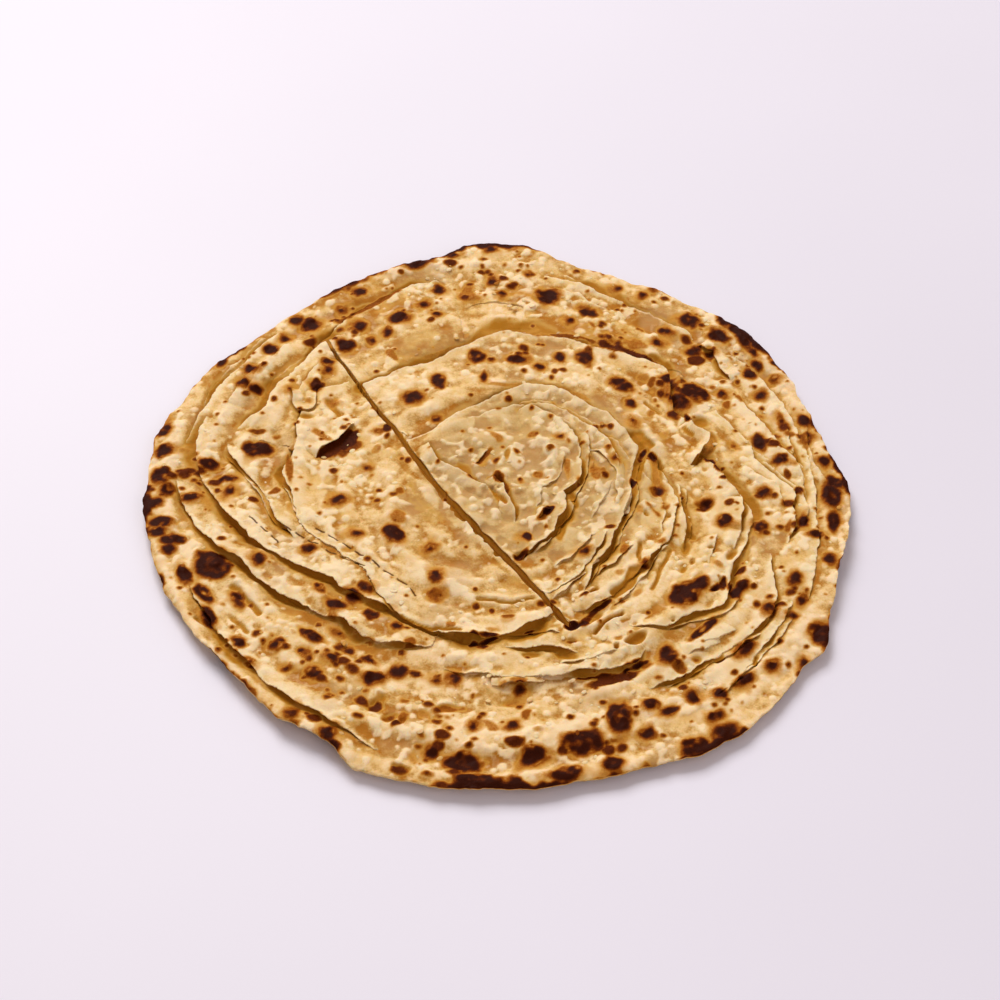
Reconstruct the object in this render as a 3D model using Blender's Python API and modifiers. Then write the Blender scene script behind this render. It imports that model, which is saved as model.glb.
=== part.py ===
"""A layered griddle bread: a coil of thin dough leaves rolled flat, with one straight cut.

The bread is one piece. A flat round blank is turned about the vertical axis, then each of its
points is moved to the bread's true outline and height. The height is a low dome with a lifted
rim, and on it every leaf of the coil rises outwards to its free edge and drops behind it into a
recess. The knife cut is taken out last. Lengths in the tables are millimetres, angles degrees,
counted from +X towards +Y.
"""

import math

import bmesh
import bpy
import numpy as np

MM = 0.001

# Driving dimensions
MIDDLE_THICKNESS = 8.2
RIM_THICKNESS = 2.4
DOME_POWER = 1.7
FLAT_BASE_SHARE = 0.74
LEAF_RISE_LENGTH = 13.0
LEAF_EDGE_SOFTNESS = 0.9
LEAF_END_FADE = 7.0
CUT_WIDTH = 1.7
CUT_FLOOR = 1.2

# How finely the blank is turned, and the share of its triangles that the finished bread keeps
TURN_STEPS = 264
TOP_RINGS = 110
BASE_RINGS = 12
KEPT_SHARE = 0.142

# The outline's corners and the middles of its sides: angle and radius
OUTLINE = (
    (0, 100.6), (8, 97.2), (18, 96.2), (30, 98.2), (42, 100.3), (54, 97.8), (66, 97.4),
    (76, 98.8), (85, 105.2), (94, 106.0), (101, 101.0), (112, 99.1), (130, 96.5), (142, 96.8),
    (150, 99.2), (168, 100.9), (186, 100.5), (205, 98.4), (220, 97.3), (236, 101.0),
    (244, 101.2), (250, 106.3), (266, 106.4), (290, 105.7), (301, 109.0), (313, 107.2),
    (321, 105.1), (326, 106.7), (334, 101.8), (345, 99.5), (354, 100.3),
)

# How far the underside of the rim stands off the surface it lies on: angle and height
RIM_LIFT = (
    (0, 3.0), (30, 2.0), (60, 1.2), (90, 1.5), (120, 1.1), (150, 1.3), (180, 1.8),
    (210, 2.6), (236, 3.2), (262, 2.0), (285, 1.2), (310, 1.5), (335, 2.9),
)

# Each leaf's free edge. rise is how far the leaf climbs to it, drop and recess are the depth and
# the width of the hollow just outside it, and edge is the line as angle and radius.
LEAVES = (
    ("rim west", 0.4, 0.9, 2.0, ((142, 92), (154, 92.2), (168, 91.5))),
    ("rim south west", 0.5, 1.0, 2.2, ((208, 92.8), (226, 93.6), (240, 94.4), (250, 97.2))),
    ("rim east", 0.4, 0.8, 1.8, ((334, 94.4), (348, 91.8), (360, 90.6), (392, 91.2))),
    ("rim south east", 0.5, 0.7, 1.8, ((310, 94.6), (318, 93.6), (328, 92))),
    ("north", 0.7, 1.0, 3.0, ((50, 86.6), (62, 87.4), (70, 88.4), (80, 91.4))),
    ("north west", 0.8, 1.3, 2.6, ((103, 90.6), (114, 87.1), (124, 84.0), (133, 80.6))),
    ("long west", 1.1, 1.3, 3.6, ((180, 91), (189, 86.4), (199, 79.7), (213, 72), (229, 65.2),
                                  (240, 66.2), (249, 63.8))),
    ("inner west", 1.0, 1.2, 3.6, ((163, 89.8), (174, 86.4), (184, 79.9), (193, 74.6),
                                   (203, 66.8), (213, 60), (229, 56), (244, 53.2))),
    ("island edge", 0.6, 0.9, 2.6, ((128, 79), (141, 77.8), (156, 74.2), (162, 77.6))),
    ("island inner", 0.6, 1.2, 2.2, ((169, 78.5), (180, 67.7), (193, 62.3), (207, 54), (223, 47))),
    ("half west", 1.0, 1.4, 2.4, ((152, 65.5), (163, 60.8), (177, 61.3), (186, 57))),
    ("half south", 1.3, 1.9, 4.2, ((238, 55), (250, 57), (264, 58), (277, 54.6), (287, 51.4))),
    ("band north", 1.4, 1.5, 4.2, ((42, 70.2), (53, 66), (66, 64.2), (82, 63.4), (92, 63),
                                   (101, 58.3), (113, 55.2), (136, 57.2))),
    ("coil", 1.5, 1.5, 3.0, ((302, 46), (320, 40), (337, 38.4), (360, 39.6), (384, 44.1),
                             (403, 44), (422, 43.5), (445, 38.3), (466, 32), (476, 30))),
    ("coil lower right", 0.7, 1.3, 2.6, ((300, 54), (314, 52), (332, 51.4), (352, 51), (379, 45.6))),
    ("east", 0.8, 1.3, 4.0, ((324, 74.6), (334, 72.8), (345, 69), (360, 65.8), (372, 60.4))),
    ("torn end", 0.6, 1.3, 4.0, ((266, 70.5), (284, 72.6), (303, 72.6))),
    ("inner coil", 0.8, 1.0, 2.0, ((348, 18.5), (372, 23.6), (385, 27), (401, 29.6), (414, 29))),
    ("inner coil north", 0.5, 0.7, 1.6, ((20, 16), (50, 19.2), (78, 19.8))),
)

# Small torn flaps that stand up: angle, radius, length along the edge, width, height
FLAPS = (
    (18, 61.0, 13.0, 4.5, 2.2),
    (157, 49.0, 9.0, 5.0, 2.0),
    (327, 17.6, 7.0, 2.6, 1.6),
    (120, 7.5, 9.0, 3.0, 1.2),
    (300, 71.0, 8.0, 4.0, 1.2),
)

# The middle line of the knife cut, in X and Y
CUT_LINE = (
    (-51.5, 60.0), (-40.5, 40.8), (-30.3, 24.0), (-18.8, 2.8),
    (-4.7, -18.5), (4.7, -31.0), (15.5, -46.5), (19.6, -53.0),
)

BREAD_COLOUR = (0.62, 0.37, 0.13, 1.0)
BREAD_ROUGHNESS = 0.62


def ease(t):
    """0 below t = 0 and 1 above t = 1, with a smooth step between."""
    t = np.clip(t, 0.0, 1.0)
    return t * t * (3.0 - 2.0 * t)


def round_table(table, angles):
    """A table of angle and value read smoothly all the way round, angles in degrees."""
    knots = np.array([row[0] for row in table], float)
    values = np.array([row[1] for row in table], float)
    knots = np.concatenate([knots[-2:] - 360.0, knots, knots[:3] + 360.0])
    values = np.concatenate([values[-2:], values, values[:3]])
    slopes = np.gradient(values, knots)
    at = np.clip(np.searchsorted(knots, angles, side="right") - 1, 0, len(knots) - 2)
    width = knots[at + 1] - knots[at]
    t = (angles - knots[at]) / width
    start = values[at] * (1 + 2 * t) * (1 - t) ** 2 + values[at + 1] * t * t * (3 - 2 * t)
    return start + width * t * (1 - t) * (slopes[at] * (1 - t) - slopes[at + 1] * t)


def leaf_relief(leaf, angles, radii):
    """What one leaf adds to the height, in millimetres."""
    _, rise, drop, recess, edge = leaf
    first, last = edge[0][0], edge[-1][0]
    along = (angles - first) % 360.0
    inside_ends = np.minimum(along, last - first - along)
    strength = ease(inside_ends / LEAF_END_FADE)
    line = np.interp(along + first, [p[0] for p in edge], [p[1] for p in edge])
    beyond = radii - line
    climb = rise * np.clip(1.0 + beyond / LEAF_RISE_LENGTH, 0.0, 1.0) ** 1.6
    hollow = -drop * np.clip(1.0 - beyond / recess, 0.0, 1.0) ** 1.4
    over = ease(0.5 + beyond / LEAF_EDGE_SOFTNESS)
    return strength * (climb * (1.0 - over) + hollow * over)


def flap_relief(flap, x, y):
    """A small ridge that lies across the radius at the flap's place."""
    degrees, radius, length, width, height = flap
    turn = math.radians(degrees)
    out = (math.cos(turn), math.sin(turn))
    across = (x * out[0] + y * out[1] - radius) / (0.5 * width)
    along = (y * out[0] - x * out[1]) / (0.5 * length)
    return height * np.exp(-(across ** 2 + along ** 2) * 1.4)


def waviness(x, y):
    """The dough's slow swell, a sum of crossed waves of uneven length."""
    return (
        0.32 * np.sin(0.19 * x + 0.07 * y + 0.6)
        + 0.28 * np.sin(-0.08 * x + 0.23 * y + 2.1)
        + 0.18 * np.sin(0.31 * x - 0.26 * y + 4.0)
    )


def rim_lift(angles, share):
    """Height of the underside. share is 0 at the centre and 1 at the rim."""
    beyond = (share - FLAT_BASE_SHARE) / (1.0 - FLAT_BASE_SHARE)
    return round_table(RIM_LIFT, angles) * np.clip(beyond, 0.0, 1.0) ** 1.8


def top_height(angles, share, radii, x, y):
    """Height of the upper side over the flat base, in millimetres."""
    thickness = RIM_THICKNESS + (MIDDLE_THICKNESS - RIM_THICKNESS) * (1.0 - share ** DOME_POWER)
    relief = waviness(x, y)
    for leaf in LEAVES:
        relief = relief + leaf_relief(leaf, angles, radii)
    for flap in FLAPS:
        relief = relief + flap_relief(flap, x, y)
    # The relief dies out at the rim, where the bread is thinnest
    return rim_lift(angles, share) + thickness + relief * ease((1.0 - share) / 0.05)


def turned_blank(collection):
    """A disc of radius 1 whose profile runs from the top's centre over the rim to the base's.

    The profile's height only tells the sides apart: 1 on top, 0 at the rim, -1 underneath.
    """
    profile = [(k / TOP_RINGS, 1.0) for k in range(TOP_RINGS)]
    profile += [(0.994, 1.0), (1.0, 0.0), (0.994, -1.0)]
    profile += [(1.0 - k / BASE_RINGS, -1.0) for k in range(1, BASE_RINGS + 1)]
    work = bmesh.new()
    points = [work.verts.new((radius, 0.0, height)) for radius, height in profile]
    for start, end in zip(points, points[1:]):
        work.edges.new((start, end))
    mesh = bpy.data.meshes.new("turned_profile")
    work.to_mesh(mesh)
    work.free()
    blank = bpy.data.objects.new("turned_profile", mesh)
    collection.objects.link(blank)
    screw = blank.modifiers.new("turn", "SCREW")
    screw.steps = TURN_STEPS
    screw.render_steps = TURN_STEPS
    screw.use_merge_vertices = True
    screw.merge_threshold = 0.0001
    graph = bpy.context.evaluated_depsgraph_get()
    turned = bpy.data.meshes.new_from_object(blank.evaluated_get(graph))
    bpy.data.objects.remove(blank)
    return turned


def shaped(mesh):
    """Moves the blank's points to the bread's outline and heights, and centres its outline."""
    flat = np.empty(len(mesh.vertices) * 3)
    mesh.vertices.foreach_get("co", flat)
    unit = flat.reshape(-1, 3)
    share = np.minimum(np.hypot(unit[:, 0], unit[:, 1]), 1.0)
    angles = np.degrees(np.arctan2(unit[:, 1], unit[:, 0])) % 360.0
    radii = share * round_table(OUTLINE, angles)
    x = radii * np.cos(np.radians(angles))
    y = radii * np.sin(np.radians(angles))
    base = rim_lift(angles, share)
    top = top_height(angles, share, radii, x, y)
    side = unit[:, 2]
    z = np.where(side > 0.5, top, np.where(side < -0.5, base, 0.5 * (top + base)))
    centre_x = 0.5 * (x.max() + x.min())
    centre_y = 0.5 * (y.max() + y.min())
    mesh.vertices.foreach_set("co", (np.stack([x - centre_x, y - centre_y, z], 1) * MM).ravel())
    mesh.update()
    return centre_x, centre_y


def cut_blade(collection, centre):
    """The knife's path as a thin upright wall along the cut line."""
    work = bmesh.new()
    top = 3.0 * MIDDLE_THICKNESS
    lower = []
    for x, y in CUT_LINE:
        lower.append(work.verts.new(((x - centre[0]) * MM, (y - centre[1]) * MM, CUT_FLOOR * MM)))
    edges = [work.edges.new(pair) for pair in zip(lower, lower[1:])]
    raised = bmesh.ops.extrude_edge_only(work, edges=edges)["geom"]
    lifted = [item for item in raised if isinstance(item, bmesh.types.BMVert)]
    bmesh.ops.translate(work, verts=lifted, vec=(0.0, 0.0, (top - CUT_FLOOR) * MM))
    mesh = bpy.data.meshes.new("cut_blade")
    work.to_mesh(mesh)
    work.free()
    blade = bpy.data.objects.new("cut_blade", mesh)
    collection.objects.link(blade)
    wall = blade.modifiers.new("knife width", "SOLIDIFY")
    wall.thickness = CUT_WIDTH * MM
    wall.offset = 0.0
    blade.hide_render = True
    blade.display_type = "WIRE"
    return blade


def bread_material():
    material = bpy.data.materials.new("browned_dough")
    material.use_nodes = True
    shader = material.node_tree.nodes["Principled BSDF"]
    shader.inputs["Base Color"].default_value = BREAD_COLOUR
    shader.inputs["Roughness"].default_value = BREAD_ROUGHNESS
    shader.inputs["Metallic"].default_value = 0.0
    return material


def new_collection(name):
    collection = bpy.data.collections.new(name)
    bpy.context.scene.collection.children.link(collection)
    return collection


def build():
    for old in list(bpy.data.objects):
        bpy.data.objects.remove(old, do_unlink=True)
    parts = new_collection("layered_bread")
    cutters = new_collection("cutters")
    cutters.hide_render = True
    mesh = turned_blank(parts)
    centre = shaped(mesh)
    mesh.name = "paratha"
    mesh.shade_smooth()
    mesh.materials.append(bread_material())
    bread = bpy.data.objects.new("paratha", mesh)
    parts.objects.link(bread)
    thin = bread.modifiers.new("fewer faces", "DECIMATE")
    thin.ratio = KEPT_SHARE
    cut = bread.modifiers.new("knife cut", "BOOLEAN")
    cut.operation = "DIFFERENCE"
    cut.object = cut_blade(cutters, centre)


build()
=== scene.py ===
# %% [markdown]
# # A layered griddle bread
# The bread is one coil of thin dough leaves, rolled flat and browned on a griddle. Its upper side
# is a set of shingles: each inner leaf lies over the next one outward, and its thin free edge stands
# a little off, with a dark hollow below it. One straight knife cut runs across the middle.
#
# A sculpted height field alone would give smooth steps, never the thin lips with real gaps below
# them. So every leaf here is its own thin closed sheet, and the sheets are laid one on another
# from the rim to the middle, as the dough itself lies.

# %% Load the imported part
import math

import bpy
import numpy as np
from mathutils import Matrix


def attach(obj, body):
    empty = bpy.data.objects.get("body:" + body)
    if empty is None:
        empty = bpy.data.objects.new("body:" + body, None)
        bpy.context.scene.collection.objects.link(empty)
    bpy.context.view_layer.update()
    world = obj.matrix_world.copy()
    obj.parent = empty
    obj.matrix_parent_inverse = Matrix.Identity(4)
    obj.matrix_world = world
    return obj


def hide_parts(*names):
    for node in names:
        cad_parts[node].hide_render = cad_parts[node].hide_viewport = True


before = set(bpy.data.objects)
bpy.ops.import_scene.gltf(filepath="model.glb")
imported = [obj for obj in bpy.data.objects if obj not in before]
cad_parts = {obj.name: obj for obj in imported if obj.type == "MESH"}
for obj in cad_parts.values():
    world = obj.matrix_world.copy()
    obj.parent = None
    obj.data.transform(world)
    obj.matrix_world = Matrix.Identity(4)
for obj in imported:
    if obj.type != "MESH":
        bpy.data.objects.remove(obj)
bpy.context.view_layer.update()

# %% [markdown]
# ## The ground map
# All shapes are first drawn as height maps seen from above, because leaves that press into each
# other are easy to add up there. The map has one sample for each 0.225 mm, which is finer than
# the smallest flake. Lengths are millimetres and angles degrees, counted from +X towards +Y.

# %% Map coordinates
MM = 0.001
PITCH = 0.225
CELLS = 1000
CENTRE = (0.02, 0.27)

samples = (np.arange(CELLS) - 0.5 * (CELLS - 1)) * PITCH
map_x, map_y = np.meshgrid(samples.astype(np.float32), samples.astype(np.float32))
map_r = np.hypot(map_x, map_y)
map_turn = np.degrees(np.arctan2(map_y, map_x)) % 360.0
print("map side in mm:", round(CELLS * PITCH, 1))

# %% Map helpers
def ease(t):
    """0 below t = 0, 1 above t = 1, and a smooth step between."""
    t = np.clip(t, 0.0, 1.0)
    return t * t * (3.0 - 2.0 * t)


def blur(field, sigma, sigma_y=None):
    """Softens a map by a bell curve of the given width in millimetres."""
    sigma_y = sigma if sigma_y is None else sigma_y
    wave_y = np.fft.fftfreq(field.shape[0], PITCH)[:, None]
    wave_x = np.fft.rfftfreq(field.shape[1], PITCH)[None, :]
    damp = np.exp(-2.0 * (math.pi ** 2) * ((wave_x * sigma) ** 2 + (wave_y * sigma_y) ** 2))
    return np.fft.irfft2(np.fft.rfft2(field) * damp, s=field.shape).astype(np.float32)


def rough(sigma, seed, sigma_y=None):
    """A random map with soft spots about sigma wide, mean 0 and spread 1."""
    white = np.random.default_rng(seed).standard_normal((CELLS, CELLS)).astype(np.float32)
    soft = blur(white, sigma, sigma_y)
    return soft / soft.std()


def rough_line(count, sigma, seed):
    """A random row of values, smooth over sigma steps and closed end to end."""
    white = np.random.default_rng(seed).standard_normal(count)
    wave = np.fft.rfftfreq(count)
    soft = np.fft.irfft(np.fft.rfft(white) * np.exp(-2.0 * (math.pi * wave * sigma) ** 2), count)
    return soft / soft.std()


def read_map(field, x, y, corner=None, step=PITCH):
    """Reads a map between its samples at points in millimetres."""
    corner = (samples[0], samples[0]) if corner is None else corner
    across = np.clip((x - corner[0]) / step, 0, field.shape[1] - 1.001)
    down = np.clip((y - corner[1]) / step, 0, field.shape[0] - 1.001)
    col, row = across.astype(int), down.astype(int)
    u, v = across - col, down - row
    low = field[row, col] * (1 - u) + field[row, col + 1] * u
    high = field[row + 1, col] * (1 - u) + field[row + 1, col + 1] * u
    return low * (1 - v) + high * v

# %% [markdown]
# ## The low dome
# The bread's outline has flat sides and blunt corners, because the coil was rolled out by hand.
# The dough is thickest in the middle and thins to a rim that curls a few millimetres off the
# table. Two tables around the circle give the outline and the rim's curl, and a power of the
# radius gives the dome. This is the ground on which the leaves are laid.

# %% Outline and dome
# angle, radius
OUTLINE = ((0, 100.7), (5, 98.8), (10, 96.7), (15, 96.2), (20, 96.3), (25, 97.4), (30, 98.2), (35, 99.5),
    (40, 100.2), (45, 100.1), (50, 98.5), (55, 97.7), (60, 98.8), (65, 97.2), (70, 98.2), (75, 98.6),
    (80, 101.2), (85, 105.7), (90, 106.7), (95, 106), (98, 103), (101, 100.9), (110, 99.3), (120, 98.4),
    (130, 96.5), (142, 96.8), (149, 99.2), (154, 99.2), (160, 99.6), (165, 100.4), (169, 101),
    (180, 99.8), (184, 100.7), (190, 99.8), (195, 99.2), (201, 98.9), (205, 98.4), (210, 98.3),
    (216, 97.5), (222, 97.4), (226, 98.3), (230, 99.7), (236, 101.1), (240, 100.8), (245, 101.6),
    (250, 106.6), (254, 105.8), (258, 106.3), (264, 106.4), (270, 106.5), (280, 105.9), (286, 105.7),
    (291, 105.8), (297, 107.5), (301, 109.1), (306, 108.6), (311, 107.5), (315, 106.6), (320, 105.1),
    (323, 105.2), (325.5, 106.9), (330, 104), (334.5, 101.6), (339, 100.2), (345, 99.4), (351, 100),
    (354, 100.3))
# angle, height of the rim's underside
RIM_LIFT = ((0, 2.8), (30, 1.9), (60, 1.2), (90, 1.5), (120, 1.1), (150, 1.3), (180, 1.7), (210, 2.5),
    (236, 3), (262, 2), (285, 1.2), (310, 1.5), (335, 2.7))
LEAST_LIFT = 0.4
RIM_TOP = 1.9
MIDDLE_TOP = 7.4
DOME_POWER = 1.7
FLAT_SHARE = 0.74
CURL_POWER = 1.8
ROUND_STEPS = 3600

turns = np.arange(ROUND_STEPS) * (360.0 / ROUND_STEPS)


def round_line(table, soften):
    """A closed table read every tenth of a degree, its corners softened over some degrees."""
    row = np.interp(turns, [p[0] for p in table], [p[1] for p in table], period=360.0)
    wave = np.fft.rfftfreq(ROUND_STEPS, 360.0 / ROUND_STEPS)
    return np.fft.irfft(np.fft.rfft(row) * np.exp(-2.0 * (math.pi * wave * soften) ** 2), ROUND_STEPS)


def around(row, angles):
    """Reads a closed row at the given angles."""
    at = (angles % 360.0) * (ROUND_STEPS / 360.0)
    low = at.astype(int) % ROUND_STEPS
    part = at - np.floor(at)
    return (row[low] * (1 - part) + row[(low + 1) % ROUND_STEPS] * part).astype(np.float32)


outline_row = round_line(OUTLINE, 0.9) + 0.22 * rough_line(ROUND_STEPS, 14, 3)
outline_row += 0.12 * rough_line(ROUND_STEPS, 4, 4)
lift_row = np.maximum(round_line(RIM_LIFT, 5.0) + 0.35 * rough_line(ROUND_STEPS, 70, 5), LEAST_LIFT)
outline = around(outline_row, map_turn)
share = map_r / outline
curled = np.clip((share - FLAT_SHARE) / (1 - FLAT_SHARE), 0, 1.08) ** CURL_POWER
curl = around(lift_row, map_turn) * curled
dome = curl + RIM_TOP + (MIDDLE_TOP - RIM_TOP) * (1.0 - np.minimum(share, 1.05) ** DOME_POWER)
dome += 0.22 * rough(9.0, 11) * ease((1.0 - share) / 0.1) + 0.10 * rough(4.0, 12)
print("dome from", round(float(dome[share < 1].min()), 1), "to", round(float(dome.max()), 1), "mm")

# %% [markdown]
# ## The leaves
# Each leaf is known by its free edge, a line of angle and radius, and by how it stands there: how
# far the edge lifts, and how wide and deep the hollow outside it is. One more number gives how far
# the sheet runs in under its neighbour. The list runs from the rim to the middle, which is also
# from the lowest leaf to the highest.

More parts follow.
